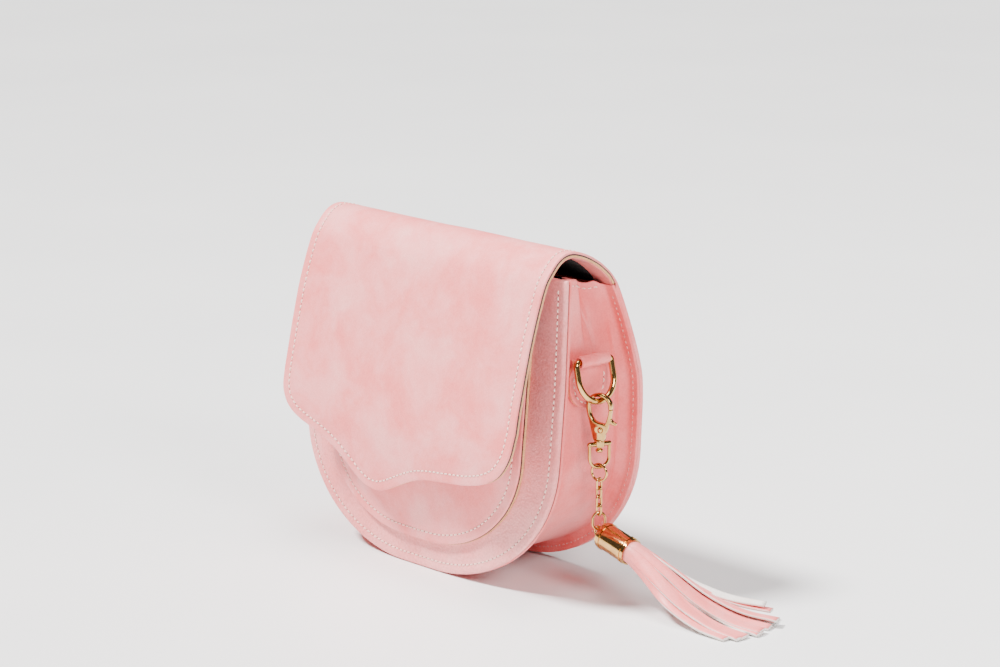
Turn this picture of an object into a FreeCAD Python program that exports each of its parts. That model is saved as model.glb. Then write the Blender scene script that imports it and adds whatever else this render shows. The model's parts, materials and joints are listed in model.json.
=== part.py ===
# Crossbody saddle bag with a tassel charm.
# Millimetres. +Z up, -Y is the front of the bag, +X is its right side seen from the front.
# Origin: on the ground under the middle of the bag body.
import FreeCAD, Part
import math
import os
from FreeCAD import Vector

# Bag outline seen from the front: a flat foot, quarter-ellipse corners and upright sides.
HALF_WIDTH = 93.0
FOOT_HALF = 12.0
CORNER_HEIGHT = 66.0
STRAIGHT_TOP = 104.0        # above this the sides lean in towards the rim
FRONT_RIM_HALF = 91.0
BACK_RIM_HALF = 87.0
ABOVE = 190.0               # higher than everything

# Front wall: a leaning plane with a shallow stuffed dome.
FRONT_FOOT_Y = -27.6
FRONT_LEAN = math.degrees(math.atan(14.0 / 150.0))
DOME_RADIUS = 64.0
DOME_RISE = 11.0
DOME_HEIGHT = 70.0          # of its centre above the ground

# Back wall, outer surface, foot to flap hinge.
BACK_PROFILE = [(33.0, -4.0), (34.6, 40.0), (36.4, 72.0), (37.2, 91.0), (36.2, 107.0), (32.4, 127.0)]
HINGE_Y = 25.3
HINGE_Z = 149.5
HINGE_SLOPE = 116.0         # degrees from +Y, the way the leather runs there

# Flap, outer surface, from the hinge over the top and down the front.
FLAP_TOP_PROFILE = [(17.5, 158.8), (7.5, 165.0), (0.0, 167.9), (-5.0, 168.7), (-10.0, 167.8)]
FOLD_Y = -14.6
FOLD_Z = 165.0
FLAP_FRONT_PROFILE = [(-19.2, 160.0), (-22.6, 155.0), (-26.6, 145.0), (-31.5, 130.0), (-36.7, 110.0),
                      (-41.2, 90.0), (-43.7, 74.0), (-43.9, 62.0), (-43.0, 48.0), (-41.6, 34.0)]
FLAP_HALF = 86.0
# Lower edge of the flap, right side to left: rounded corners, and a tongue a little left of the middle.
FLAP_EDGE = [(86.0, 86.0), (83.4, 73.6), (76.5, 63.8), (66.0, 58.0), (54.0, 54.9), (40.0, 53.2),
             (27.0, 51.8), (17.0, 49.9), (7.0, 46.1), (-2.0, 42.0), (-9.0, 39.2), (-15.5, 38.2),
             (-22.5, 39.3), (-29.5, 43.0), (-37.0, 48.8), (-45.0, 54.4), (-54.0, 58.7), (-64.0, 61.9),
             (-74.4, 65.6), (-81.5, 70.8), (-85.3, 78.0), (-86.0, 85.0)]
FOLD_GAP = 0.15             # half the slit left in the leather at a fold
BOARD_FOLD_GAP = 1.6        # the boards stop this far from a fold

# Layer thicknesses.
LEATHER = 1.4
BOARD = 1.6
LINING = 0.6
WALL = LEATHER + BOARD + LINING
FLAP_LEATHER = 1.2
FLAP_BOARD = 1.4
FLAP_LINING = 0.8
OVERLAY_LEATHER = 1.2
OVERLAY_BOARD = 1.8
OVERLAY_HALF = 71.0
OVERLAY_FOOT = 15.5
OVERLAY_TOP = 125.0

# Gusset: a U-shaped band set in from the panels' edges, with a turned-out flange on each side.
GUSSET_INSET = 7.0
RIM_FRONT = (-16.0, 156.4)  # (Y, Z) of the sloping rim
RIM_BACK = (18.2, 147.9)

# Tabs and D-rings on the two sides.
TAB_Y = 4.4
TAB_WIDTH = 25.0
TAB_THICK = 2.4
TAB_FOOT = 91.6
TAB_TOP = 118.4
LOOP_WIDTH = 18.6
RING_WIRE = 3.1
RING_WIDTH = 26.0
RING_HEIGHT = 23.0
RING_CORNER = 2.0
RING_X = 91.4               # bar of the D-ring
RING_Z = 115.8
RING_TILT = 13.0            # the clasp leans on the bag and holds the ring out by this much
LOOP_PLAY = 0.1
LOOP_SKIN = 1.3

# Magnetic snap.
SNAP_HEIGHT = 72.0
SNAP_RADIUS = 8.5
SNAP_THICK = 2.2
STUD_RADIUS = 7.0
STUD_THICK = 2.0
STUD_SEAT = 0.35            # the flap curves away behind the flat stud
WASHER_RADIUS = 7.0
WASHER_THICK = 0.7
PRONG_HALF = 3.5
PRONG_WIDTH = 2.4
PRONG_THICK = 0.7
PRONG_REACH = 6.0           # the slots for the legs go this far either side of a wall's surface
PRONG_PLAY = 0.1
RECESS_PLAY = 0.3           # round a washer, in the board it sits in
SOCKET_GAP = 0.02
WELL_FLOOR = 0.9            # left under the socket's well

# Charm: clasp, swivel, rings and chain hang in one vertical line under the D-ring.
CHAIN_PLAY = 0.12
HOOK_PLAY = 0.5
CLASP_TURN = 20.0           # azimuth of each piece's own plane, from +X
SHACKLE_TURN = 72.0
JUMP_TURN = 14.0
OVAL_TURN = 66.0
CLASP_RING_R = 5.75         # centre line of the hook
CLASP_BAR = 2.0             # width of the hook in its plane
CLASP_THICK = 2.8
CLASP_LENGTH = 23.5         # top of the hook to the foot of the body
CLASP_SLOT = 1.3
CLASP_FOOT_HALF = 2.6
CLASP_WAIST = (2.4, 5.4)    # radius of the lower cut-out and its depth under the hook's centre
GATE_SIDE = 1.6             # the lever's opening starts this far beside the middle
GATE_FOOT = 9.2             # and this far under the hook's centre
GATE_HIGH = 8.7
SLOT_HIGH = 9.0             # the lever's slot in the body, this high
SLOT_FOOT = 2.4             # and this far under the pin
LEVER_THICK = 1.05
PIN_RADIUS = 0.9
POST_RADIUS = 1.1
PIN_S = 0.9                 # the pin stands beside the clasp's middle by this much
PIN_ABOVE_FOOT = 5.6
PIN_HEAD = (1.4, 0.3)       # radius and height
BAR_DROP = 1.6              # shackle's bar under the clasp's foot
BAR_RADIUS = 1.2
BOSS_RADIUS = 2.5
SHACKLE_WIDTH = 12.0
SHACKLE_WIRE = 1.6
SHACKLE_DROP = 11.6
JUMP_RADIUS = 4.1
JUMP_WIRE = 1.25
LINK_WIRE = 1.1
LINK_LONG = 5.5             # between the wire centres
LINK_WIDE = 2.9
LINK_COUNT = 4
OVAL_LONG = 8.3
OVAL_WIDE = 6.2
EYE_RADIUS = 2.5
EYE_WIRE = 1.2

# Tassel.
CAP_PITCH = 14.0            # degrees below level
CAP_START = EYE_RADIUS + EYE_WIRE / 2 + 0.9
CAP_RADIUS = 6.5
CAP_LENGTH = 19.0
CAP_WALL = 0.7
CAP_BAND = 0.35
ROLL_RADIUS = 5.5
ROLL_PROUD = 11.0
STRAND_THICK = 1.2
# One row per strand: fan angle, height of its root, height of its tip, length, width.
STRANDS = [(-2.0, -2.6, 0.4, 66.0, 6.0), (3.0, -3.2, 0.4, 68.0, 6.4), (9.0, -3.2, 0.4, 68.0, 6.2),
           (15.0, -2.8, 0.4, 67.0, 6.0), (21.0, -2.2, 0.6, 63.0, 5.6), (0.0, 1.4, 3.4, 67.0, 6.0),
           (6.0, 2.4, 3.2, 70.0, 6.2), (12.0, 2.0, 4.6, 69.0, 6.0), (26.0, 1.0, 5.6, 64.0, 5.6),
           (18.0, 3.0, 8.2, 67.0, 5.8)]


X_AXIS = Vector(1, 0, 0)
Y_AXIS = Vector(0, 1, 0)
Z_AXIS = Vector(0, 0, 1)


def save(name, shape):
    shape.exportStep("parts/" + name + ".step")


def line(p, q):
    return Part.LineSegment(p, q).toShape()


def corner_arc(side, across, up):
    """Quarter ellipse from the foot to one side (side is 1 for right, -1 for left)."""
    middle = Vector(side * FOOT_HALF, 0, CORNER_HEIGHT)
    ellipse = Part.Ellipse(middle + Vector(side * across, 0, 0), middle - Vector(0, 0, up), middle)
    return Part.ArcOfEllipse(ellipse, 0, math.pi / 2).toShape()


def u_side(side, half, rim_half):
    """Upright edge from the corner arc to the top, leaning in above STRAIGHT_TOP."""
    lower = line(Vector(side * half, 0, CORNER_HEIGHT), Vector(side * half, 0, STRAIGHT_TOP))
    lean = line(Vector(side * half, 0, STRAIGHT_TOP), Vector(side * rim_half, 0, HINGE_Z))
    upper = line(Vector(side * rim_half, 0, HINGE_Z), Vector(side * rim_half, 0, ABOVE))
    return [lower, lean, upper]


def u_prism(half, foot, rim_half):
    """The bag's outline, or one inside it, run through from front to back."""
    across = half - FOOT_HALF
    up = CORNER_HEIGHT - foot
    edges = [corner_arc(1, across, up), corner_arc(-1, across, up)]
    edges += u_side(1, half, rim_half) + u_side(-1, half, rim_half)
    edges.append(line(Vector(-FOOT_HALF, 0, foot), Vector(FOOT_HALF, 0, foot)))
    edges.append(line(Vector(-rim_half, 0, ABOVE), Vector(rim_half, 0, ABOVE)))
    wire = Part.Wire(Part.__sortEdges__(edges))
    face = Part.Face(wire)
    face.translate(Vector(0, -80, 0))
    return face.extrude(Vector(0, 160, 0))


def lean_back(shape):
    """From the front wall's own frame, where it is upright at y = 0, to its place."""
    shape.rotate(Vector(0, 0, 0), X_AXIS, -FRONT_LEAN)
    shape.translate(Vector(0, FRONT_FOOT_Y, 0))
    return shape


def front_block(depth, domed=True):
    """Everything behind the front wall's surface moved in by depth, 80 mm deep."""
    block = Part.makeBox(240, 80, 240, Vector(-120, 0, -20))
    if domed:
        ball_radius = (DOME_RADIUS ** 2 + DOME_RISE ** 2) / (2 * DOME_RISE)
        centre = Vector(0, ball_radius - DOME_RISE, DOME_HEIGHT)
        ball = Part.makeSphere(ball_radius, centre)
        ahead = Part.makeBox(240, 40, 240, Vector(-120, -40, -50))
        block = block.fuse(ball.common(ahead))
    block.translate(Vector(0, depth, 0))
    return lean_back(block)


def spline(points):
    curve = Part.BSplineCurve()
    curve.interpolate(points)
    return curve


def slope(degrees):
    return Vector(0, math.cos(math.radians(degrees)), math.sin(math.radians(degrees)))


def back_curve():
    points = [Vector(0, y, z) for y, z in BACK_PROFILE + [(HINGE_Y, HINGE_Z)]]
    return spline(points)


def back_block(depth):
    """Everything in front of the back wall's outer surface moved in by depth."""
    curve = back_curve()
    foot = curve.StartPoint
    top = curve.EndPoint
    beyond = top + slope(HINGE_SLOPE) * 15
    edges = [curve.toShape(), line(top, beyond), line(beyond, Vector(0, -80, beyond.z)),
             line(Vector(0, -80, beyond.z), Vector(0, -80, foot.z)), line(Vector(0, -80, foot.z), foot)]
    face = Part.Face(Part.Wire(Part.__sortEdges__(edges)))
    face.translate(Vector(-120, -depth, 0))
    return face.extrude(Vector(240, 0, 0))


def below_rim(shape):
    """Cuts a wall off at the sloping rim."""
    run = Vector(0, RIM_BACK[0] - RIM_FRONT[0], RIM_BACK[1] - RIM_FRONT[1])
    front = Vector(0, RIM_FRONT[0], RIM_FRONT[1]) - run * 2
    back = front + run * 5
    high = Vector(0, 0, 80)
    face = Part.Face(Part.makePolygon([front, back, back + high, front + high, front]))
    face.translate(Vector(-120, 0, 0))
    return shape.cut(face.extrude(Vector(240, 0, 0)))


def below_hinge(shape, gap):
    """Cuts a back layer off square to the leather at the flap's hinge."""
    run = slope(HINGE_SLOPE)
    out = slope(HINGE_SLOPE - 90)
    corner = Vector(0, HINGE_Y, HINGE_Z) - run * gap + out * 30
    face = Part.Face(Part.makePolygon([corner, corner - out * 60, corner - out * 60 + run * 60,
                                       corner + run * 60, corner]))
    face.translate(Vector(-120, 0, 0))
    return shape.cut(face.extrude(Vector(240, 0, 0)))


def snap_place(out, radius, thick):
    """A disc on the front wall, its inner face out in front of the dome's top by out."""
    disc = Part.makeCylinder(radius, thick, Vector(0, -DOME_RISE - out, SNAP_HEIGHT), Vector(0, -1, 0))
    return lean_back(disc)


def snap_prongs(front, back, play):
    """The snap's two bent legs, between two depths of the front wall."""
    legs = []
    for side in (-1, 1):
        leg = Part.makeBox(PRONG_WIDTH + 2 * play, back - front, PRONG_THICK + 2 * play,
                           Vector(side * PRONG_HALF - PRONG_WIDTH / 2 - play, front - DOME_RISE,
                                  SNAP_HEIGHT - PRONG_THICK / 2 - play))
        legs.append(lean_back(leg))
    return legs[0].fuse(legs[1])


def front_layer(outside, inside, outline):
    return front_block(outside).cut(front_block(inside)).common(outline)


def front_wall():
    outline = u_prism(HALF_WIDTH, 0, FRONT_RIM_HALF)
    slots = snap_prongs(-PRONG_REACH, PRONG_REACH, PRONG_PLAY)
    recess = snap_place(-LEATHER - BOARD, WASHER_RADIUS + RECESS_PLAY, WASHER_THICK + PRONG_PLAY)
    leather = below_rim(front_layer(0, LEATHER, outline)).cut(slots)
    board = below_rim(front_layer(LEATHER, LEATHER + BOARD, outline)).cut(slots).cut(recess)
    lining = below_rim(front_layer(LEATHER + BOARD, WALL, outline))
    save("front_panel_leather", leather)
    save("front_board", board)
    save("front_lining", lining)


def overlay():
    outline = u_prism(OVERLAY_HALF, OVERLAY_FOOT, OVERLAY_HALF)
    outline = outline.common(Part.makeBox(240, 200, OVERLAY_TOP, Vector(-120, -100, 0)))
    slots = snap_prongs(-PRONG_REACH, PRONG_REACH, PRONG_PLAY)
    thick = OVERLAY_LEATHER + OVERLAY_BOARD
    save("overlay_leather", front_layer(-thick, -OVERLAY_BOARD, outline).cut(slots))
    save("overlay_board", front_layer(-OVERLAY_BOARD, 0, outline).cut(slots))


def snap_socket():
    thick = OVERLAY_LEATHER + OVERLAY_BOARD
    disc = snap_place(thick + SOCKET_GAP, SNAP_RADIUS, SNAP_THICK)
    well = snap_place(thick + WELL_FLOOR, STUD_RADIUS / 2, SNAP_THICK)
    legs = snap_prongs(-thick - 0.3, LEATHER + BOARD - WASHER_THICK - 0.1, 0)
    save("snap_socket", disc.fuse(legs).cut(well))
    washer = snap_place(-LEATHER - BOARD + 0.05, WASHER_RADIUS, WASHER_THICK)
    save("snap_socket_washer", washer.cut(snap_prongs(-PRONG_REACH, PRONG_REACH, PRONG_PLAY)))


def back_layer(outside, inside, outline, gap):
    return below_hinge(back_block(outside).cut(back_block(inside)).common(outline), gap)


def back_wall():
    outline = u_prism(HALF_WIDTH, 0, BACK_RIM_HALF)
    save("back_panel_leather", back_layer(0, LEATHER, outline, FOLD_GAP))
    save("back_board", back_layer(LEATHER, LEATHER + BOARD, outline, BOARD_FOLD_GAP))
    save("back_lining", back_layer(LEATHER + BOARD, WALL, outline, FOLD_GAP))


def gusset():
    """The band between the panels: a wall set in from their edges and a flange against each."""
    half = HALF_WIDTH - GUSSET_INSET
    rim = FRONT_RIM_HALF - GUSSET_INSET
    wall = u_prism(half, GUSSET_INSET, rim)
    hollow = u_prism(half - LEATHER, GUSSET_INSET + LEATHER, rim - LEATHER)
    lined = u_prism(half - LEATHER - LINING, GUSSET_INSET + LEATHER + LINING, rim - LEATHER - LINING)
    front = front_block(WALL, domed=False)
    front_in = front_block(WALL + LEATHER, domed=False)
    back = back_block(WALL)
    back_in = back_block(WALL + LEATHER)
    band = wall.cut(hollow).common(front).common(back)
    front_flange = u_prism(HALF_WIDTH, 0, FRONT_RIM_HALF).cut(hollow).common(front).cut(front_in)
    back_flange = u_prism(HALF_WIDTH, 0, BACK_RIM_HALF).cut(hollow).common(back).cut(back_in)
    leather = band.fuse([front_flange.common(back), back_flange.common(front)]).removeSplitter()
    save("gusset_leather", below_rim(leather))
    lining = hollow.cut(lined).common(front_in).common(back_in)
    save("gusset_lining", below_rim(lining))


def mirrored(shape):
    return shape.mirror(Vector(0, 0, 0), X_AXIS)


def tab_plate():
    """Flat tab with a round foot, narrowing to the loop's width at its top."""
    half = TAB_WIDTH / 2
    arc = Part.Arc(Vector(0, TAB_Y - half, TAB_FOOT + half), Vector(0, TAB_Y, TAB_FOOT),
                   Vector(0, TAB_Y + half, TAB_FOOT + half)).toShape()
    neck = TAB_TOP - 5
    points = [Vector(0, TAB_Y + half, TAB_FOOT + half), Vector(0, TAB_Y + half, neck),
              Vector(0, TAB_Y + LOOP_WIDTH / 2, TAB_TOP), Vector(0, TAB_Y - LOOP_WIDTH / 2, TAB_TOP),
              Vector(0, TAB_Y - half, neck), Vector(0, TAB_Y - half, TAB_FOOT + half)]
    edges = [arc] + [line(p, q) for p, q in zip(points, points[1:])]
    face = Part.Face(Part.Wire(Part.__sortEdges__(edges)))
    face.translate(Vector(HALF_WIDTH - GUSSET_INSET + 0.02, 0, 0))
    return face.extrude(Vector(TAB_THICK, 0, 0))


def tabs():
    bore = RING_WIRE / 2 + LOOP_PLAY
    start = Vector(RING_X, TAB_Y - LOOP_WIDTH / 2, RING_Z)
    loop = Part.makeCylinder(bore + LOOP_SKIN, LOOP_WIDTH, start, Y_AXIS)
    hole = Part.makeCylinder(bore, LOOP_WIDTH + 2, start - Y_AXIS, Y_AXIS)
    neck_x = HALF_WIDTH - GUSSET_INSET + 0.5
    neck = Part.makeBox(RING_X - neck_x, LOOP_WIDTH, bore + LOOP_SKIN - 0.7,
                        Vector(neck_x, TAB_Y - LOOP_WIDTH / 2, RING_Z + 0.7))
    tab = fused([tab_plate(), loop, neck]).cut(hole)
    save("tab_right", tab)
    save("tab_left", mirrored(tab))


def rod(p, q, radius):
    return Part.makeCylinder(radius, (q - p).Length, p, q - p)


def bend(centre, axis, start, degrees, radius):
    """A round wire bent about centre, from start, turning by the right hand about axis."""
    tangent = axis.cross(start - centre)
    disc = Part.Face(Part.Wire(Part.makeCircle(radius, start, tangent)))
    return disc.revolve(centre, axis, degrees)


def fused(shapes):
    return shapes[0].fuse(shapes[1:]).removeSplitter()


def d_ring(tilt):
    """Bar along Y at the top, rounded corners, straight sides and a half-round foot."""
    wire = RING_WIRE / 2
    half = RING_WIDTH / 2 - wire
    corner = half - RING_CORNER
    knee = RING_HEIGHT - RING_WIRE - half
    top = Vector(RING_X, TAB_Y, RING_Z)
    pieces = [rod(top - Y_AXIS * corner, top + Y_AXIS * corner, wire)]
    for side in (-1, 1):
        middle = top + Vector(0, side * corner, -RING_CORNER)
        pieces.append(bend(middle, X_AXIS * -side, middle + Z_AXIS * RING_CORNER, 90, wire))
        upper = top + Vector(0, side * half, -RING_CORNER)
        lower = top + Vector(0, side * half, -knee)
        pieces.append(rod(upper, lower, wire))
    pieces.append(bend(top - Z_AXIS * knee, X_AXIS, top + Vector(0, -half, -knee), 180, wire))
    ring = fused(pieces)
    ring.rotate(top, Y_AXIS, -tilt)
    return ring


def d_rings():
    save("d_ring_right", d_ring(RING_TILT))
    save("d_ring_left", mirrored(d_ring(0)))


def turned(shape, azimuth, z):
    """From a piece's own plane (its X and Z) to its place on the chain's line."""
    shape.rotate(Vector(0, 0, 0), Z_AXIS, azimuth)
    shape.translate(Vector(CHAIN_X, TAB_Y, z))
    return shape


def plate(edges, thick):
    """Flat piece in the XZ plane, centred on it."""
    face = Part.Face(Part.Wire(Part.__sortEdges__(edges)))
    face.translate(Vector(0, -thick / 2, 0))
    return face.extrude(Vector(0, thick, 0))


def teardrop(radius, foot, half_foot, thick):
    """Round top of the given radius about the origin, straight sides down to a narrow foot."""
    reach = math.hypot(foot, half_foot)
    turn = math.atan2(half_foot, foot) + math.acos(radius / reach)
    touch = Vector(radius * math.sin(turn), 0, -radius * math.cos(turn))
    left = Vector(-touch.x, 0, touch.z)
    low = Vector(half_foot, 0, -foot)
    low_left = Vector(-half_foot, 0, -foot)
    arc = Part.Arc(touch, Vector(0, 0, radius), left).toShape()
    return plate([arc, line(left, low_left), line(low_left, low), line(low, touch)], thick)


# Levels on the chain's line, worked down from the D-ring.
RING_DROP = RING_HEIGHT - RING_WIRE
CHAIN_X = RING_X + RING_DROP * math.sin(math.radians(RING_TILT))
RING_FOOT_Z = RING_Z - RING_DROP * math.cos(math.radians(RING_TILT))
HOOK_TOP_Z = RING_FOOT_Z + RING_WIRE / 2 + HOOK_PLAY + CLASP_BAR
HOOK_Z = HOOK_TOP_Z - CLASP_RING_R - CLASP_BAR / 2
CLASP_FOOT_Z = HOOK_TOP_Z - CLASP_LENGTH
PIN_Z = CLASP_FOOT_Z + PIN_ABOVE_FOOT
BAR_Z = CLASP_FOOT_Z - BAR_DROP
SHACKLE_FOOT_Z = BAR_Z - SHACKLE_DROP
JUMP_TOP_Z = SHACKLE_FOOT_Z + (SHACKLE_WIRE + JUMP_WIRE) / 2 + CHAIN_PLAY
JUMP_Z = JUMP_TOP_Z - JUMP_RADIUS
JUMP_FOOT_Z = JUMP_Z - JUMP_RADIUS
LINK_TOP_Z = JUMP_FOOT_Z + (JUMP_WIRE + LINK_WIRE) / 2 + CHAIN_PLAY
LINK_PITCH = LINK_LONG - LINK_WIRE - CHAIN_PLAY
LINK_FOOT_Z = LINK_TOP_Z - LINK_LONG - (LINK_COUNT - 1) * LINK_PITCH
OVAL_TOP_Z = LINK_FOOT_Z + (LINK_WIRE + JUMP_WIRE) / 2 + CHAIN_PLAY
OVAL_FOOT_Z = OVAL_TOP_Z - OVAL_LONG
EYE_TOP_Z = OVAL_FOOT_Z + (JUMP_WIRE + EYE_WIRE) / 2 + CHAIN_PLAY
EYE_Z = EYE_TOP_Z - EYE_RADIUS


def clasp_hook():
    """Hook and body: a teardrop with an eye, open on one side where the lever closes it."""
    foot = HOOK_Z - CLASP_FOOT_Z
    body = teardrop(CLASP_RING_R + CLASP_BAR / 2, foot, CLASP_FOOT_HALF, CLASP_THICK)
    eye = Part.makeCylinder(CLASP_RING_R - CLASP_BAR / 2, 8, Vector(0, -4, 0), Y_AXIS)
    waist = Part.makeCylinder(CLASP_WAIST[0], 8, Vector(0, -4, -CLASP_WAIST[1]), Y_AXIS)
    gate = Part.makeBox(8, 8, GATE_HIGH, Vector(GATE_SIDE, -4, -GATE_FOOT))
    slot = Part.makeBox(12, CLASP_SLOT, SLOT_HIGH,
                        Vector(-GATE_SIDE, -CLASP_SLOT / 2, PIN_Z - HOOK_Z - SLOT_FOOT))
    hole = Part.makeCylinder(PIN_RADIUS, 8, Vector(PIN_S, -4, PIN_Z - HOOK_Z), Y_AXIS)
    return body.cut([eye, waist, gate, slot, hole])


def clasp_post():
    """Round post under the body, with the head that holds the shackle's bar."""
    post = Part.makeCylinder(POST_RADIUS, 4.4, Vector(0, 0, CLASP_FOOT_Z - HOOK_Z - 4.2))
    head = Part.makeSphere(POST_RADIUS + 0.8, Vector(0, 0, CLASP_FOOT_Z - HOOK_Z - 4.8))
    collar = Part.makeCylinder(2.3, 0.8, Vector(0, 0, CLASP_FOOT_Z - HOOK_Z - 0.2))
    return post.fuse([head, collar])


def clasp_lever():
    """Gate arm from its pin up to the hook's tip, with a thumb tab standing out."""
    pin = PIN_Z - HOOK_Z
    points = [Vector(PIN_S - 0.9, 0, pin - 1.5), Vector(PIN_S + 1.6, 0, pin - 1.5),
              Vector(PIN_S + 2.6, 0, pin + 1.2), Vector(8.6, 0, pin + 2.2), Vector(8.9, 0, pin + 3.4),
              Vector(4.7, 0, pin + 3.8), Vector(6.4, 0, -1.9), Vector(5.7, 0, -1.1), Vector(4.9, 0, -1.1),
              Vector(3.4, 0, pin + 3.6), Vector(PIN_S - 1.0, 0, pin + 1.4), Vector(PIN_S - 0.9, 0, pin - 1.5)]
    arm = plate([line(p, q) for p, q in zip(points, points[1:])], LEVER_THICK)
    hole = Part.makeCylinder(PIN_RADIUS + 0.06, 8, Vector(PIN_S, -4, pin), Y_AXIS)
    return arm.cut(hole)


def clasp_pin():
    """Rivet through the body and the lever, with a low round head on each face."""
    pin = PIN_Z - HOOK_Z
    half = CLASP_THICK / 2
    shank = Part.makeCylinder(PIN_RADIUS, CLASP_THICK, Vector(PIN_S, -half, pin), Y_AXIS)
    radius, high = PIN_HEAD
    heads = [Part.makeCylinder(radius, high, Vector(PIN_S, y, pin), Y_AXIS) for y in (-half - high, half)]
    return shank.fuse(heads)


def clasp():
    save("clasp_body", turned(fused([clasp_hook(), clasp_post()]), CLASP_TURN, HOOK_Z))
    save("clasp_lever", turned(clasp_lever(), CLASP_TURN, HOOK_Z))
    save("clasp_pin", turned(clasp_pin(), CLASP_TURN, HOOK_Z))


def clasp_shackle():
    """Bar with a boss for the clasp's post, and a round wire bow under it."""
    wire = SHACKLE_WIRE / 2
    half = SHACKLE_WIDTH / 2 - wire
    knee = SHACKLE_DROP - half
    bar = Part.makeCylinder(BAR_RADIUS, 2 * half, Vector(-half, 0, 0), X_AXIS)
    boss = Part.makeCylinder(BOSS_RADIUS, 2 * BAR_RADIUS, Vector(0, 0, -BAR_RADIUS))
    pieces = [bar, boss]
    for side in (-1, 1):
        pieces.append(rod(Vector(side * half, 0, 0), Vector(side * half, 0, -knee), wire))
        pieces.append(Part.makeSphere(BAR_RADIUS, Vector(side * half, 0, 0)))
    pieces.append(bend(Vector(0, 0, -knee), Y_AXIS, Vector(half, 0, -knee), 180, wire))
    bore = Part.makeCylinder(POST_RADIUS + 0.08, 8, Vector(0, 0, -4))
    save("clasp_shackle", turned(fused(pieces).cut(bore), SHACKLE_TURN, BAR_Z))


def oval(length, width, wire):
    """Racetrack ring of round wire in the XZ plane; length and width are between wire centres."""
    half = width / 2
    rise = (length - width) / 2
    pieces = [bend(Vector(0, 0, rise), Y_AXIS, Vector(-half, 0, rise), 180, wire / 2),
              bend(Vector(0, 0, -rise), Y_AXIS, Vector(half, 0, -rise), 180, wire / 2)]
    if rise > 0:
        for side in (-1, 1):
            pieces.append(rod(Vector(side * half, 0, -rise), Vector(side * half, 0, rise), wire / 2))
    return fused(pieces)


def chain():
    ring = Part.makeTorus(JUMP_RADIUS, JUMP_WIRE / 2, Vector(0, 0, 0), Y_AXIS)
    save("jump_ring", turned(ring, JUMP_TURN, JUMP_Z))
    for i in range(LINK_COUNT):
        link = oval(LINK_LONG, LINK_WIDE, LINK_WIRE)
        middle = LINK_TOP_Z - LINK_LONG / 2 - i * LINK_PITCH
        save("chain_link_%d" % (i + 1), turned(link, 90 if i % 2 == 0 else 0, middle))
    ring = oval(OVAL_LONG, OVAL_WIDE, JUMP_WIRE)
    save("oval_ring", turned(ring, OVAL_TURN, OVAL_TOP_Z - OVAL_LONG / 2))


def pitched(shape):
    """From the tassel's own frame (eye at the origin, cap along +X) to its place."""
    shape.rotate(Vector(0, 0, 0), Y_AXIS, CAP_PITCH)
    shape.translate(Vector(CHAIN_X, TAB_Y, EYE_Z))
    return shape


def tassel_cap():
    """Closed tube with a raised band near each end and a hole for the eye's stem."""
    tube = Part.makeCylinder(CAP_RADIUS, CAP_LENGTH, Vector(CAP_START, 0, 0), X_AXIS)
    bands = [Part.makeCylinder(CAP_RADIUS + CAP_BAND, 1.4, Vector(CAP_START + s, 0, 0), X_AXIS)
             for s in (1.2, CAP_LENGTH - 3.4)]
    hollow = Part.makeCylinder(CAP_RADIUS - CAP_WALL, CAP_LENGTH, Vector(CAP_START + 1.0, 0, 0), X_AXIS)
    hole = Part.makeCylinder(0.75, 4, Vector(CAP_START - 1, 0, 0), X_AXIS)
    save("tassel_cap", pitched(fused([tube] + bands).cut(hollow).cut(hole)))


def tassel_eye():
    """Wire loop with a stem through the cap's end and a riveted head inside."""
    loop = Part.makeTorus(EYE_RADIUS, EYE_WIRE / 2, Vector(0, 0, 0), Y_AXIS)
    stem = Part.makeCylinder(0.7, CAP_START + 1.4 - EYE_RADIUS, Vector(EYE_RADIUS, 0, 0), X_AXIS)
    shoulder = Part.makeCylinder(1.5, CAP_START - EYE_RADIUS - 0.3, Vector(EYE_RADIUS + 0.28, 0, 0), X_AXIS)
    head = Part.makeCylinder(1.8, 0.8, Vector(CAP_START + 1.02, 0, 0), X_AXIS)
    save("tassel_eye", pitched(fused([loop, stem, shoulder, head])))


def strand(fan, root, tip, length, width):
    """Flat strip leaving the roll, falling to the ground and running out along it."""
    pitch = math.radians(CAP_PITCH)
    out = CAP_START + CAP_LENGTH + ROLL_PROUD - 3
    x = CHAIN_X + out * math.cos(pitch)
    z = EYE_Z - out * math.sin(pitch) + root
    fall = z - tip
    shares = [(0, 1), (0.25, 0.58), (0.52, 0.22), (0.76, 0.04), (1, 0)]
    side = [Vector(length * along, 0, tip + fall * left) for along, left in shares]
    low = spline(side)
    high = spline([p + Z_AXIS * STRAND_THICK for p in side])
    edges = [low.toShape(), line(side[-1], side[-1] + Z_AXIS * STRAND_THICK), high.toShape(),
             line(side[0] + Z_AXIS * STRAND_THICK, side[0])]
    face = Part.Face(Part.Wire(Part.__sortEdges__(edges)))
    face.translate(Vector(0, -width / 2, 0))
    strip = face.extrude(Vector(0, width, 0))
    strip.rotate(Vector(-18, 0, 0), Z_AXIS, fan)
    strip.translate(Vector(x, TAB_Y, 0))
    return strip


def tassel_fringe():
    """One leather sheet rolled up in the cap, its free part cut into strands."""
    start = CAP_START + 2.2
    end = CAP_START + CAP_LENGTH + ROLL_PROUD
    roll = Part.makeCylinder(ROLL_RADIUS, end - start, Vector(start, 0, 0), X_AXIS)
    strips = [strand(*row) for row in STRANDS]
    save("tassel_fringe", pitched(roll).fuse(strips).removeSplitter())


def flap_curve():
    """Outer surface of the flap seen from the side, hinge to lower edge."""
    points = [(HINGE_Y, HINGE_Z)] + FLAP_TOP_PROFILE + [(FOLD_Y, FOLD_Z)] + FLAP_FRONT_PROFILE
    points = [Vector(0, y, z) for y, z in points]
    return spline(points)


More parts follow.
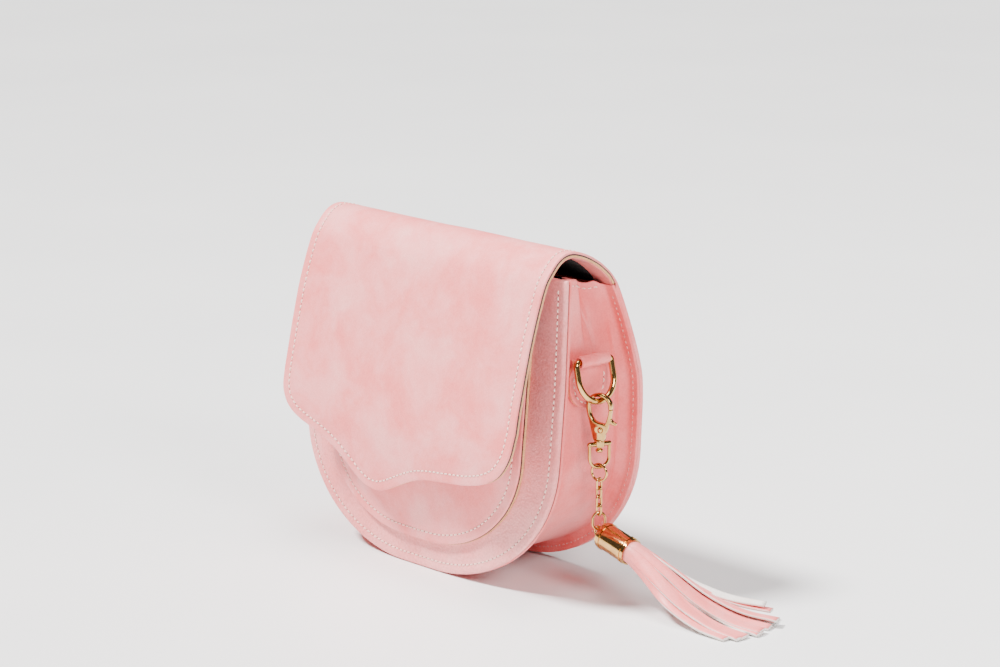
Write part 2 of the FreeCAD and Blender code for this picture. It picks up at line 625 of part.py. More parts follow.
def offset_curve(curve, start, end, depth):
    """The stretch of a side profile between two lengths along it, moved in square to it by depth."""
    points = []
    steps = 18
    for i in range(steps + 1):
        u = curve.parameterAtDistance(start + (end - start) * i / steps, curve.FirstParameter)
        tangent = curve.tangent(u)[0]
        inward = Vector(0, -tangent.z, tangent.y)
        points.append(curve.value(u) + inward * depth)
    return spline(points)


def flap_layer(start, end, outside, inside, half=FLAP_HALF):
    """Flap layer from length start to length end along the side profile."""
    curve = flap_curve()
    outer = offset_curve(curve, start, end, outside)
    inner = offset_curve(curve, start, end, inside)
    edges = [outer.toShape(), inner.toShape(), line(outer.StartPoint, inner.StartPoint),
             line(outer.EndPoint, inner.EndPoint)]
    face = Part.Face(Part.Wire(Part.__sortEdges__(edges)))
    face.translate(Vector(-half, 0, 0))
    return face.extrude(Vector(2 * half, 0, 0))


def flap_outline():
    """The flap's lobed lower edge and straight sides, run through from front to back."""
    points = [Vector(x, 0, z) for x, z in FLAP_EDGE]
    corners = [Vector(-FLAP_HALF, 0, ABOVE), Vector(FLAP_HALF, 0, ABOVE)]
    edges = [spline(points).toShape(), line(points[-1], corners[0]), line(corners[0], corners[1]),
             line(corners[1], points[0])]
    face = Part.Face(Part.Wire(Part.__sortEdges__(edges)))
    face.translate(Vector(0, -90, 0))
    return face.extrude(Vector(0, 90, 0))


def flap():
    curve = flap_curve()
    first = curve.FirstParameter
    fold = curve.length(first, curve.parameter(Vector(0, FOLD_Y, FOLD_Z)))
    end = curve.length()
    outline = flap_outline()
    depths = {"leather": (0, FLAP_LEATHER, FOLD_GAP),
              "board": (FLAP_LEATHER, FLAP_LEATHER + FLAP_BOARD, BOARD_FOLD_GAP),
              "lining": (FLAP_LEATHER + FLAP_BOARD, FLAP_LEATHER + FLAP_BOARD + FLAP_LINING, FOLD_GAP)}
    recess = stud_place(FLAP_LEATHER + FLAP_BOARD, WASHER_RADIUS + RECESS_PLAY, -WASHER_THICK - PRONG_PLAY)
    for name, (outside, inside, gap) in depths.items():
        top = flap_layer(gap, fold - gap, outside, inside)
        front = flap_layer(fold + gap, end, outside, inside, FLAP_HALF + 9).common(outline)
        if name != "leather":
            front = front.cut(stud_prongs(PRONG_PLAY))
        if name == "board":
            front = front.cut(recess)
        save("flap_top_" + name, top)
        save("flap_front_" + name, front)


def stud_frame(shape):
    """From a frame with the flap's outer surface at y = 0 to the flap at the snap's height."""
    curve = flap_curve()
    u = curve.intersect(Part.Line(Vector(0, -90, SNAP_HEIGHT), Vector(0, 0, SNAP_HEIGHT)))
    point = min((Vector(p.X, p.Y, p.Z) for p in u), key=lambda p: p.y)
    run = curve.tangent(curve.parameter(point))[0]
    shape.rotate(Vector(0, 0, 0), X_AXIS, math.degrees(math.atan2(run.y, -run.z)))
    shape.translate(point)
    return shape


def stud_place(depth, radius, thick):
    """A disc from depth inside the flap's outer surface, thick towards the bag."""
    low = min(depth, depth + thick)
    return stud_frame(Part.makeCylinder(radius, abs(thick), Vector(0, low, 0), Y_AXIS))


def stud_prongs(play):
    legs = []
    for side in (-1, 1):
        corner = Vector(side * PRONG_HALF - PRONG_WIDTH / 2 - play, FLAP_LEATHER + 0.6,
                        -PRONG_THICK / 2 - play)
        legs.append(Part.makeBox(PRONG_WIDTH + 2 * play, FLAP_BOARD + FLAP_LINING + STUD_SEAT - 0.5,
                                 PRONG_THICK + 2 * play, corner))
    return stud_frame(legs[0].fuse(legs[1]))


def snap_stud():
    depth = FLAP_LEATHER + FLAP_BOARD + FLAP_LINING
    disc = stud_place(depth + STUD_SEAT, STUD_RADIUS, STUD_THICK - 0.9)
    tip = stud_place(depth + STUD_SEAT, STUD_RADIUS / 2 - 0.3, STUD_THICK)
    save("snap_stud", fused([disc, tip, stud_prongs(0)]))
    washer = stud_place(FLAP_LEATHER + FLAP_BOARD - 0.05, WASHER_RADIUS, -WASHER_THICK)
    save("snap_stud_washer", washer.cut(stud_prongs(PRONG_PLAY)))


def main():
    os.makedirs("parts", exist_ok=True)
    front_wall()
    overlay()
    snap_socket()
    back_wall()
    gusset()
    tabs()
    d_rings()
    clasp()
    clasp_shackle()
    chain()
    tassel_cap()
    tassel_eye()
    tassel_fringe()
    flap()
    snap_stud()


main()
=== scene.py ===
"""Pink saddle bag with a tassel charm: looks only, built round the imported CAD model."""
import json
from math import copysign, cos, exp, pi, radians, sin

import bmesh
import bpy
import numpy as np
from mathutils import Matrix, Vector, geometry, noise


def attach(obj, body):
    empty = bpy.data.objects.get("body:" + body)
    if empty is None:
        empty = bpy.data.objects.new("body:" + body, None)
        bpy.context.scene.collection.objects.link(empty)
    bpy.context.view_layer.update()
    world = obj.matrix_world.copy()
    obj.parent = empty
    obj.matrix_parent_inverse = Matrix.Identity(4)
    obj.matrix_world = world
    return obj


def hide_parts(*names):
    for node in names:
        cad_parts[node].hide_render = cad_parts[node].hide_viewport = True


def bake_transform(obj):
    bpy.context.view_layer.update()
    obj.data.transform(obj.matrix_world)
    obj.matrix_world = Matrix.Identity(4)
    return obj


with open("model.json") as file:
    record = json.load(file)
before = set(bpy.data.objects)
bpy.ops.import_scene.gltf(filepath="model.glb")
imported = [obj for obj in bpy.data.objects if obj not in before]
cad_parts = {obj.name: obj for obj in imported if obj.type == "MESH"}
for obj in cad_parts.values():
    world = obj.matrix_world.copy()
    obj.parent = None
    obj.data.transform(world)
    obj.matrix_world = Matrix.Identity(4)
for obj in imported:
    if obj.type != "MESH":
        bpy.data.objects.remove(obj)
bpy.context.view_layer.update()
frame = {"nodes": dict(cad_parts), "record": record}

MM = 0.001

# ---- Sizes in millimetres, as in the CAD model ----
HALF_WIDTH = 93
FOOT_HALF = 12
CORNER_HEIGHT = 66
LEAN_FROM = 104
HINGE_Z = 149.5
FRONT_RIM_HALF = 91
BACK_RIM_HALF = 87
FRONT_FOOT_Y = -27.6
FRONT_SLOPE = 14 / 150
FRONT_COS = 0.996  # cosine and sine of that slope
FRONT_SIN = 0.093
DOME_RISE = 11
DOME_ACROSS = 73
DOME_UP = 62
DOME_HEIGHT = 71
RIM_FRONT_Z = 156

# Side profile of the one long leather: up the back, over the top and down the front.
BACK_POINTS = [
    (33.1, 0), (34.6, 40), (36.4, 72), (37.2, 91), (36.2, 107), (32.4, 127), (25.3, 149.5)]
OVER_POINTS = [
    (17.5, 158.8), (7.5, 165), (0, 167.9), (-5, 168.7), (-10, 167.8), (-14.6, 165)]
DROP_POINTS = [
    (-19.2, 160), (-22.6, 155), (-26.6, 145), (-31.5, 130), (-36.7, 110), (-41.2, 90), (-43.7, 74),
    (-43.9, 62), (-43, 48), (-41.6, 34)]
FLAP_HALF = 86
FLAP_EDGE = [
    (86, 86), (83.4, 73.6), (76.5, 63.8), (66, 58), (54, 54.9), (40, 53.2), (27, 51.8), (17, 49.9),
    (7, 46.1), (-2, 42), (-9, 39.2), (-15.5, 38.2), (-22.5, 39.3), (-29.5, 43), (-37, 48.8), (-45, 54.4),
    (-54, 58.7), (-64, 61.9), (-74.4, 65.6), (-81.5, 70.8), (-85.3, 78), (-86, 85)]
SPLIT_Y = 9  # the long leather is two pieces that meet here, on top
CLOTH_INSET = 12  # the flap's dark cloth starts this far in from its edge
SMOOTH = 14  # points per stretch of a smooth run
EDGE_STEP = 2  # spacing of the points along a sheet's edge
HEM = 1.35  # a turned edge shows this wide on the underside,
TURNED = 1.6  # and goes this much deeper than the sheet

OVERLAY_HALF = 71
OVERLAY_FOOT = 15.5
OVERLAY_TOP = 125
OVERLAY_FACE = 3  # its leather's face, out from the front panel's
BOARD_INSET = 1.4  # a panel's stiffener stops this far in from its edge
GUSSET_INSET = 7
GUSSET_BEND = 2.4  # radius where the band turns out into its flanges
GUSSET_LEATHER = 1.35
CLOTH = 0.5
FLANGE_FACE = 4.4  # outside of a panel to the flange's free face
STITCH = 2.1
STITCH_GAP = 0.8
THREAD = 0.35
FLANGE_THREAD = 0.28
SEAM_INSET = 4.8
SEAM_LEVEL = -0.26  # the thread lies in a groove this deep
# A stitch from end to end: its height, and its thickness as a share of the thread's.
STITCH_LIFT = (-0.2, 0.06, 0.24, 0.3, 0.24, 0.06, -0.2)
STITCH_WIDTH = (0.35, 0.82, 1, 1.04, 1, 0.82, 0.35)
STITCH_SIDES = 7
HOLE_SIDES = 8

TAB_FACE = 88.42  # outer face of the right tab, from the middle
TAB_Y = 4.4
TAB_WIDTH = 25
TAB_FOOT = 91.6
TAB_SHOULDER = 108.5  # where its straight sides end
TAB_TOP = 116.4
TAB_NECK = 18.6
RING_X = 91.4  # bar of the D-ring
RING_Z = 115.8
LOOP_MID = 2.3  # middle of the leather round the bar

CLASP_TURN = 20  # azimuth of the clasp's plane
HOOK_Z = 93.71  # centre of its hook
PIN_U = 0.9
PIN_W = -11.15
CLASP_OUTLINE = [
    (6.6, -0.7), (6.7, 1.4), (5.7, 3.8), (3.3, 6), (0, 6.75), (-3.4, 5.9), (-5.9, 3.4), (-6.7, 0),
    (-6.2, -3.6), (-5.1, -7.4), (-4.1, -11.4), (-3.2, -15.2), (-2.5, -16.6), (0, -16.8), (2.5, -16.6),
    (3.1, -15), (3.3, -12.6), (3.9, -10), (3.7, -8.6), (1.9, -8), (-0.2, -7.7), (-2.4, -6.8), (-4, -4.7),
    (-4.7, -2), (-4.85, 0.4), (-4.1, 2.7), (-2.3, 4.4), (0, 4.95), (2.4, 4.4), (4.2, 2.8), (4.95, 0.8),
    (5, -0.7)]
GATE_OUTLINE = [
    (6.7, -1), (6.5, -3.4), (6.4, -5.4), (7.6, -6.6), (8.9, -7.2), (8.7, -8.3), (7.2, -8.3), (5.5, -8),
    (4.6, -10.6), (3.5, -13.2), (1.8, -13.8), (0.6, -12.8), (0.8, -10.6), (2.4, -9.2), (3.8, -6.6),
    (4.7, -3.6), (5.2, -1)]

CHAIN_X = 95.88
EYE_Z = 31.9
CAP_PITCH = 14  # degrees below level
CAP_START = 4
ROLL_START = 7
ROLL_END = 28
ROLL_TURNS = 1.75
# One row per strand: fan angle, place round the roll from its top, radius there, height of its tip, length,
# width, how much the fan angle drifts, and its twist.
STRANDS = [
    (-3, -118, 5, 0.85, 64, 5.8, 3, 6), (2, -62, 5.1, 0.85, 67, 6, 2, -8),
    (9, -6, 5.2, 1.8, 69, 6.2, 3, 6), (17, 50, 5.1, 3.2, 69, 6, 3.5, -12),
    (24, 106, 5, 5, 64, 5.8, 1.5, -10), (-1, 168, 4.3, 0.85, 66, 5.8, 5, -6),
    (5, -90, 4.1, 0.85, 68, 5.8, 1.5, 8), (13, -34, 4.1, 0.85, 70, 6, -1.5, -6),
    (14, 22, 4.1, 0.85, 68, 5.8, 4, 8), (20, 78, 4.1, 0.9, 67, 5.8, 3, -6),
    (26, 140, 4.3, 7.6, 62, 5.4, 1, 12)]


# ---- Camera and light, in metres and degrees ----
LENS = 115.2
SENSOR = 36
TARGET = (0.03053, 0, 0.11897)
AZIMUTH = 47.5
ELEVATION = 13
DISTANCE = 1.56098
FLOOR_HALF = 12
SUN_FROM = (-0.85, -0.95, 1.9)
SUN_SPREAD = 11
SUN_STRENGTH = 10.5
SKY = 0.12
LAMP_AIM = (0.03, 0, 0.08)
LAMPS = [("fill", (1.55, -0.35, 1), 0.7, 31), ("top", (0.05, 0.2, 1.9), 0.9, 30)]
WARM_WHITE = (1, 0.985, 0.97)


# ---- Curves ----
def catmull(points, per=SMOOTH):
    """Smooth run of points through the given ones."""
    pts = [np.array(p, float) for p in points]
    pts = [2 * pts[0] - pts[1]] + pts + [2 * pts[-1] - pts[-2]]
    out = []
    for a, b, c, d in zip(pts, pts[1:], pts[2:], pts[3:]):
        for k in range(per):
            t = k / per
            out.append(0.5 * (2 * b + (c - a) * t + (2 * a - 5 * b + 4 * c - d) * t * t
                              + (3 * b - a - 3 * c + d) * t ** 3))
    out.append(pts[-2])
    return np.array(out)


def length_along(run):
    """Length from the start of a run to each of its points."""
    return np.concatenate([[0], np.cumsum(np.linalg.norm(np.diff(run, axis=0), axis=1))])


def headings(run):
    """Unit direction at each point of a run."""
    t = np.gradient(run, axis=0)
    return t / np.linalg.norm(t, axis=1)[:, None]


class Profile:
    """A side profile in Y and Z, found by length along it."""

    def __init__(self, points, hinge):
        self.p = catmull(points)
        self.s = length_along(self.p)
        t = np.gradient(self.p, self.s, axis=0)
        t /= np.linalg.norm(t, axis=1)[:, None]
        self.out = np.column_stack([t[:, 1], -t[:, 0]])
        self.top = int(np.argmax(self.p[:, 1]))
        self.hinge = hinge * SMOOTH

    def at(self, s, h):
        y = np.interp(s, self.s, self.p[:, 0]) + h * np.interp(s, self.s, self.out[:, 0])
        z = np.interp(s, self.s, self.p[:, 1]) + h * np.interp(s, self.s, self.out[:, 1])
        return y, z

    def up_to(self, z):
        """Length at a height on the way up."""
        return float(np.interp(z, self.p[:self.top, 1], self.s[:self.top]))

    def down_to(self, z):
        """Length at a height on the way down."""
        return float(np.interp(-z, -self.p[self.top:, 1], self.s[self.top:]))

    def over_at(self, y):
        """Length where the first stretch of the flap passes a depth."""
        over = slice(self.hinge, self.top)
        return float(np.interp(-y, -self.p[over, 0], self.s[over]))

    def depth_at(self, z):
        """Depth of the back at a height."""
        return float(np.interp(z, self.p[:self.top, 1], self.p[:self.top, 0]))


wrap = Profile(BACK_POINTS + OVER_POINTS + DROP_POINTS, len(BACK_POINTS) - 1)
SPLIT = wrap.over_at(SPLIT_Y)


def resample(points, step=EDGE_STEP):
    """Points evenly spaced along an open run."""
    points = np.array(points, float)
    length = length_along(points)
    count = max(2, int(round(length[-1] / step)) + 1)
    at = np.linspace(0, length[-1], count)
    return np.column_stack([np.interp(at, length, points[:, k]) for k in range(points.shape[1])])


def lean(z):
    """0 up to where the sides start to lean in, 1 at the hinge."""
    return max(0, z - LEAN_FROM) / (HINGE_Z - LEAN_FROM)


def split_turn(count, whole=2 * pi):
    """Equal turns from 0 up to just before the whole."""
    return [whole * k / count for k in range(count)]


def pinch(value, low, high):
    """0 below low, 1 above high, smooth between."""
    t = max(0, min(1, (value - low) / (high - low)))
    return t * t * (3 - 2 * t)


def hump(value, middle, width):
    """1 at the middle, fading to nothing on both sides."""
    return exp(-((value - middle) / width) ** 2)


# ---- Outlines ----
def u_right(half, foot, rim_half, top):
    """Right half of a U outline, from the middle of its foot to its top corner."""
    run = [(0, foot), (FOOT_HALF, foot)]
    for k in range(1, 25):
        a = pi / 2 * k / 24
        run.append((FOOT_HALF + (half - FOOT_HALF) * sin(a),
                    CORNER_HEIGHT - (CORNER_HEIGHT - foot) * cos(a)))
    run += [(half - (half - rim_half) * lean(z), z) for z in np.linspace(CORNER_HEIGHT, top, 24)[1:]]
    return run


def mirrored(run):
    """The left side that matches a right side, from its top down."""
    return run[::-1] * [-1, 1]


def closed_by(right, row):
    """A closed loop: a right side, the row across its top, and the left side."""
    return np.vstack([right, row[1:-1], mirrored(right)[:-1]])


def u_loop(half, foot, rim_half, top):
    right = resample(u_right(half, foot, rim_half, top))
    return closed_by(right, resample([right[-1], right[-1] * [-1, 1]]))


def front_u(inset=0):
    """The front panel's U, or a layer's that stops inset from its edge."""
    return u_loop(HALF_WIDTH - inset, inset, FRONT_RIM_HALF - 0.3 - inset, RIM_FRONT_Z - inset)


def back_u(inset, below):
    """The U of a layer of the back that stops below the hinge, in the long leather's own lengths."""
    u = u_loop(HALF_WIDTH - inset, inset, BACK_RIM_HALF - inset, HINGE_Z - below)
    return np.column_stack([u[:, 0], [wrap.up_to(z) for z in u[:, 1]]])


def split_row(half=FLAP_HALF):
    """The row where the two pieces of the long leather meet, from right to left."""
    return np.array([(x, SPLIT) for x in np.linspace(half, -half, 87)])


def at_split(points):
    return np.abs(points[:, 1] - SPLIT) < 1e-6


def off_split(points):
    return np.abs(points[:, 1] - SPLIT) > 3


def flap_loop():
    """Edge of the flap's front piece, from the split on top down round the lobes."""
    bottom = [(x, wrap.down_to(z)) for x, z in catmull(FLAP_EDGE, 8)]
    right = [(FLAP_HALF, b) for b in np.linspace(SPLIT, bottom[0][1], 80)[:-1]]
    left = [(-FLAP_HALF, b) for b in np.linspace(bottom[-1][1], SPLIT, 80)[1:]]
    rim = resample(right + bottom + left)
    rim[0], rim[-1] = (FLAP_HALF, SPLIT), (-FLAP_HALF, SPLIT)
    return np.vstack([rim, split_row()[::-1][1:-1]])


def back_loop():
    """Edge of the back piece: the U of the back panel, then the flap's first stretch up to the split."""
    right = [(x, wrap.up_to(z)) for x, z in u_right(HALF_WIDTH, 0, BACK_RIM_HALF, HINGE_Z - 0.5)]
    start = right[-1][1]
    for b in np.linspace(start, SPLIT, 20)[1:]:
        right.append((BACK_RIM_HALF + (FLAP_HALF - BACK_RIM_HALF) * min(1, (b - start) / 5), b))
    right = resample(right)
    right[-1] = (FLAP_HALF, SPLIT)
    return closed_by(right, split_row())


def strip_loop(inset):
    """The back piece's loop from the hinge up only, for the layers that stop there."""
    half = FLAP_HALF - inset
    start = wrap.up_to(HINGE_Z) + 1
    side = resample([(half, start), (half, SPLIT)])
    side[-1] = (half, SPLIT)
    foot = resample([(-half, start), (half, start)])
    return np.vstack([side, split_row(half)[1:-1], mirrored(side), foot[1:-1]])


def inward(loop):
    """Unit inward normals of a closed loop, whichever way it runs."""
    following = np.roll(loop, -1, 0)
    t = following - np.roll(loop, 1, 0)
    t /= np.linalg.norm(t, axis=1)[:, None]
    area = np.sum(loop[:, 0] * following[:, 1] - following[:, 0] * loop[:, 1])
    return np.column_stack([-t[:, 1], t[:, 0]]) * copysign(1, area)


def inset_loop(loop, depth):
    """A loop moved in by depth on its free sides, and narrowed to match along the split."""
    row = at_split(loop)
    moved = loop + inward(loop) * depth
    moved[row] = loop[row] * [(FLAP_HALF - depth) / FLAP_HALF, 1]
    return moved


def inset_run(loop, keep, depth):
    """The part of a closed loop that keep(points) picks, moved in by depth, as one open run."""
    run = loop + inward(loop) * depth
    mask = keep(loop)
    start = max(k for k in range(len(loop)) if mask[k] and not mask[k - 1])
    order = [(start + k) % len(loop) for k in range(len(loop))]
    return run[[k for k in order if mask[k]]]


# ---- Meshes ----
def mm(x, y, z):
    """A point given in millimetres."""
    return Vector((x, y, z)) * MM


def uneven(x, y, z):
    """Smooth unevenness, between about -1 and 1."""
    return noise.noise(Vector((x, y, z)))


def add_object(name, data):
    obj = bpy.data.objects.new(name, data)
    bpy.context.collection.objects.link(obj)
    return obj


def new_object(name, verts, faces, materials, slots=None):
    """A smooth mesh; slots says which of the materials each face has."""
    mesh = bpy.data.meshes.new(name)
    mesh.from_pydata([tuple(v) for v in verts], [], faces)
    mesh.validate()
    mesh.update()
    obj = add_object(name, mesh)
    for material in materials:
        mesh.materials.append(material)
    mesh.polygons.foreach_set("use_smooth", [True] * len(mesh.polygons))
    if slots:
        mesh.polygons.foreach_set("material_index", slots)
    return obj


def face_outward(obj, weld=0):
    """Joins points closer than weld and turns every face of a closed mesh to the outside."""
    bm = bmesh.new()
    bm.from_mesh(obj.data)
    if weld:
        bmesh.ops.remove_doubles(bm, verts=bm.verts, dist=weld)
    bmesh.ops.recalc_face_normals(bm, faces=bm.faces)
    bm.to_mesh(obj.data)
    bm.free()
    return obj


def from_modifiers(obj):
    """The mesh of an object or curve with its modifiers applied."""
    bpy.context.view_layer.update()
    return bpy.data.meshes.new_from_object(obj.evaluated_get(bpy.context.evaluated_depsgraph_get()))


def finish_shell(obj, thickness, bevel):
    """Gives an open sheet its thickness on the hidden side, with softened edges."""
    solid = obj.modifiers.new("thickness", "SOLIDIFY")
    solid.thickness = thickness * MM
    solid.offset = -1
    soft = obj.modifiers.new("edges", "BEVEL")
    soft.width = bevel * MM
    soft.segments = 2
    soft.angle_limit = radians(60)
    done, old = from_modifiers(obj), obj.data
    obj.modifiers.clear()
    obj.data = done
    bpy.data.meshes.remove(old)


def grid_faces(rows, width, closed=False, base=0):
    """Faces between rows of points; closed joins each row's end to its start."""
    faces = []
    for k in range(rows - 1):
        for j in range(width if closed else width - 1):
            q = (j + 1) % width
            faces.append(tuple(base + n for n in (k * width + j, k * width + q,
                                                  (k + 1) * width + q, (k + 1) * width + j)))
    return faces


def sheet_faces(rows, width):
    """The same faces as grid_faces, turned over."""
    return [(a, d, c, b) for a, b, c, d in grid_faces(rows, width)]


def tube_faces(rows, width, base=0):
    """Faces round a tube of closed rows, and its two ends."""
    last = base + (rows - 1) * width
    ends = [tuple(base + q for q in reversed(range(width))), tuple(last + q for q in range(width))]
    return grid_faces(rows, width, True, base) + ends


def oval(centre, wide, high, count):
    """A ring of points about a centre; wide and high are its half axes in millimetres."""
    return [centre + (wide * cos(a) + high * sin(a)) * MM for a in split_turn(count)]


def settle(piece, slot, *nodes, body="bag"):
    """Puts a piece on one body, and hides the CAD nodes it stands in for."""
    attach(piece, body)
    label(piece, slot, *nodes)


def label(piece, slot, *nodes):
    """Hides the CAD nodes that a piece stands in for; its slot is not used."""
    if nodes:
        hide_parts(*nodes)


# ---- Sheets ----
def inside(points, loop):
    """Which points lie inside a closed loop."""
    x, y = points[:, 0], points[:, 1]
    hit = np.zeros(len(points), bool)
    for (x0, y0), (x1, y1) in zip(loop, np.roll(loop, -1, 0)):
        if y0 != y1:
            cross = (y0 > y) != (y1 > y)
            hit ^= cross & (x < (x1 - x0) * (y - y0) / (y1 - y0) + x0)
    return hit


def edge_distance(points, loop):
    """Distance from each point to the nearest one of a loop, worked out in batches."""
    batch = 400
    parts = [np.linalg.norm(points[k:k + batch, None, :] - loop[None], axis=2).min(1)
             for k in range(0, len(points), batch)]
    return np.concatenate(parts) if parts else np.zeros(0)


def edge_rings(loop, top, bottom, radius, lip):
    """Rings of points and their heights, from the underside round the edge to the face."""
    normal = inward(loop)
    rings = []
    if lip.any():
        rings = [(loop + normal * HEM, np.full(len(loop), bottom)), (loop + normal * HEM, bottom - lip)]
    turns = [radians(a) for a in (0, 30, 60, 90)]
    for a in reversed(turns):
        ring = loop + normal * (radius * (1 - cos(a)))[:, None]
        rings.append((ring, bottom - lip + radius * (1 - sin(a))))
    for a in turns:
        ring = loop + normal * (radius * (1 - cos(a)))[:, None]
        rings.append((ring, top - radius * (1 - sin(a))))
    return rings


def inner_points(loop, rim, step, rounding, open_rows):
    """Points inside a sheet: rows that follow its edge and its seam, then a staggered grid."""
    normal = inward(loop)
    low, high = loop.min(0), loop.max(0)
    grid = [(a + (step / 2 if k % 2 else 0), b) for k, b in enumerate(np.arange(low[1], high[1], step * 0.87))
            for a in np.arange(low[0], high[0], step)]
    grid = np.array(grid)
    grid = grid[inside(grid, loop)]
    grid = grid[edge_distance(grid, loop) > step * 0.8 + rounding]
    depths = (1.4, SEAM_INSET - 0.9, SEAM_INSET, SEAM_INSET + 0.9)
    rows = np.vstack([loop + normal * d for d in depths])
    if open_rows is not None:
        joined = open_rows(loop)
        rows = rows[~np.tile(joined, len(depths))]
        rows = np.vstack([rows] + [loop[joined] + normal[joined] * d for d in (0.35, 0.9)])
    grid = grid[edge_distance(grid, rows) > step * 0.45]
    rows = rows[inside(rows, rim)]
    rows = rows[edge_distance(rows, rim) > 0.2]
    return np.vstack([rows, grid])


def panel(name, loop, place, top, bottom, material, rounding, step, relief=None, open_rows=None, lip=0):
    """A sheet with rounded edges: the flat loop, filled, and put in place by place(a, b, h).

    open_rows(points) says where the edge meets another piece. lip is how much deeper than the sheet its
    turned edge goes, one number or one for each point of the loop. relief(a, b, d) lifts the face.
    """
    n = len(loop)
    lip = np.broadcast_to(np.asarray(lip, float), n)
    radius = np.minimum(rounding, (top - bottom + lip) / 2)
    if open_rows is not None:
        radius = np.where(open_rows(loop), 0, radius)
    rings = edge_rings(loop, top, bottom, radius, lip)
    rim = rings[-1][0]
    flat = np.vstack([rim, inner_points(loop, rim, step, rounding, open_rows)])
    filled = geometry.delaunay_2d_cdt([Vector(p) for p in flat], [], [list(range(n))], 1, 1e-5)
    points, triangles, origins = np.array([tuple(v) for v in filled[0]]), filled[2], filled[3]
    verts = [place(a, b, h) for ring, heights in rings for (a, b), h in zip(ring, heights)]
    faces = grid_faces(len(rings), n, True)
    last = (len(rings) - 1) * n
    depth = edge_distance(points, loop)
    upper, lower = [], []
    for (a, b), d, origin in zip(points, depth, origins):
        at_edge = bool(origin) and origin[0] < n
        upper.append(last + origin[0] if at_edge else len(verts))
        lower.append(origin[0] if at_edge else len(verts) + 1)
        if not at_edge:
            verts.append(place(a, b, top + (relief(a, b, d) if relief else 0)))
            verts.append(place(a, b, bottom))
    for face in triangles:
        faces.append(tuple(upper[k] for k in face))
        faces.append(tuple(lower[k] for k in reversed(face)))
    return face_outward(new_object(name, verts, faces, [material]))


def seam_relief(a, b, d):
    """Leather pulled down a little along its stitching and turned edge."""
    return -0.28 * hump(d, SEAM_INSET, 0.8) + 0.1 * hump(d, 2.2, 1.2)


def stitches(name, run, place, top, long=STITCH, gap=STITCH_GAP, radius=THREAD, yarn=None):
    """Thread along an open run on a surface: each stitch rises from one needle hole to the next."""
    fine = resample(run, 0.5)
    length = length_along(np.array([tuple(place(a, b, top)) for a, b in fine]) / MM)
    count = max(1, int(length[-1] // (long + gap)))
    pitch = length[-1] / count
    verts, faces, slots = [], [], []

    def spot(s, h):
        return place(np.interp(s, length, fine[:, 0]), np.interp(s, length, fine[:, 1]), top + h)

    for k in range(count):
        start = k * pitch + gap / 2 + 0.16 * uneven(k * 1.7, len(name) * 3.1, 0)
        end = start + pitch - gap
        middle = (start + end) / 2
        along = (spot(end, 0) - spot(start, 0)).normalized()
        up = (spot(middle, 1) - spot(middle, 0)).normalized()
        side = up.cross(along).normalized()
        tube = tube_faces(len(STITCH_LIFT), STITCH_SIDES, len(verts))
        for r, (lift, width) in enumerate(zip(STITCH_LIFT, STITCH_WIDTH)):
            centre = spot(start + (end - start) * r / (len(STITCH_LIFT) - 1), lift)
            verts += oval(centre, side * (1.15 * radius * width), up * (radius * width), STITCH_SIDES)
        base = len(verts)
        # a flat dark disc at each needle hole: the hole is real, its darkness is painted shade
        centre = spot(start - gap / 2, 0.03)
        verts += oval(centre, along * 0.5, side * 0.36, HOLE_SIDES) + [centre + up * (0.02 * MM)]
        hole = [(base + q, base + (q + 1) % HOLE_SIDES, base + HOLE_SIDES) for q in range(HOLE_SIDES)]
        faces += tube + hole
        slots += [0] * len(tube) + [1] * len(hole)
    return new_object(name, verts, faces, [yarn or thread, needle_hole_shade], slots)


def painted_shadow_tube(name, run, place, h, radius, material):
    """A thin dark tube along an open run, used as painted shadow in a seam's groove."""
    centre = [place(a, b, h) for a, b in resample(run, 1.5)]
    sides = 6
    verts = []
    for k, p in enumerate(centre):
        along = (centre[min(k + 1, len(centre) - 1)] - centre[max(k - 1, 0)]).normalized()
        across = along.orthogonal().normalized()
        verts += [p + Matrix.Rotation(a, 3, along) @ across * (radius * MM) for a in split_turn(sides)]
    return new_object(name, verts, grid_faces(len(centre), sides, True), [material])


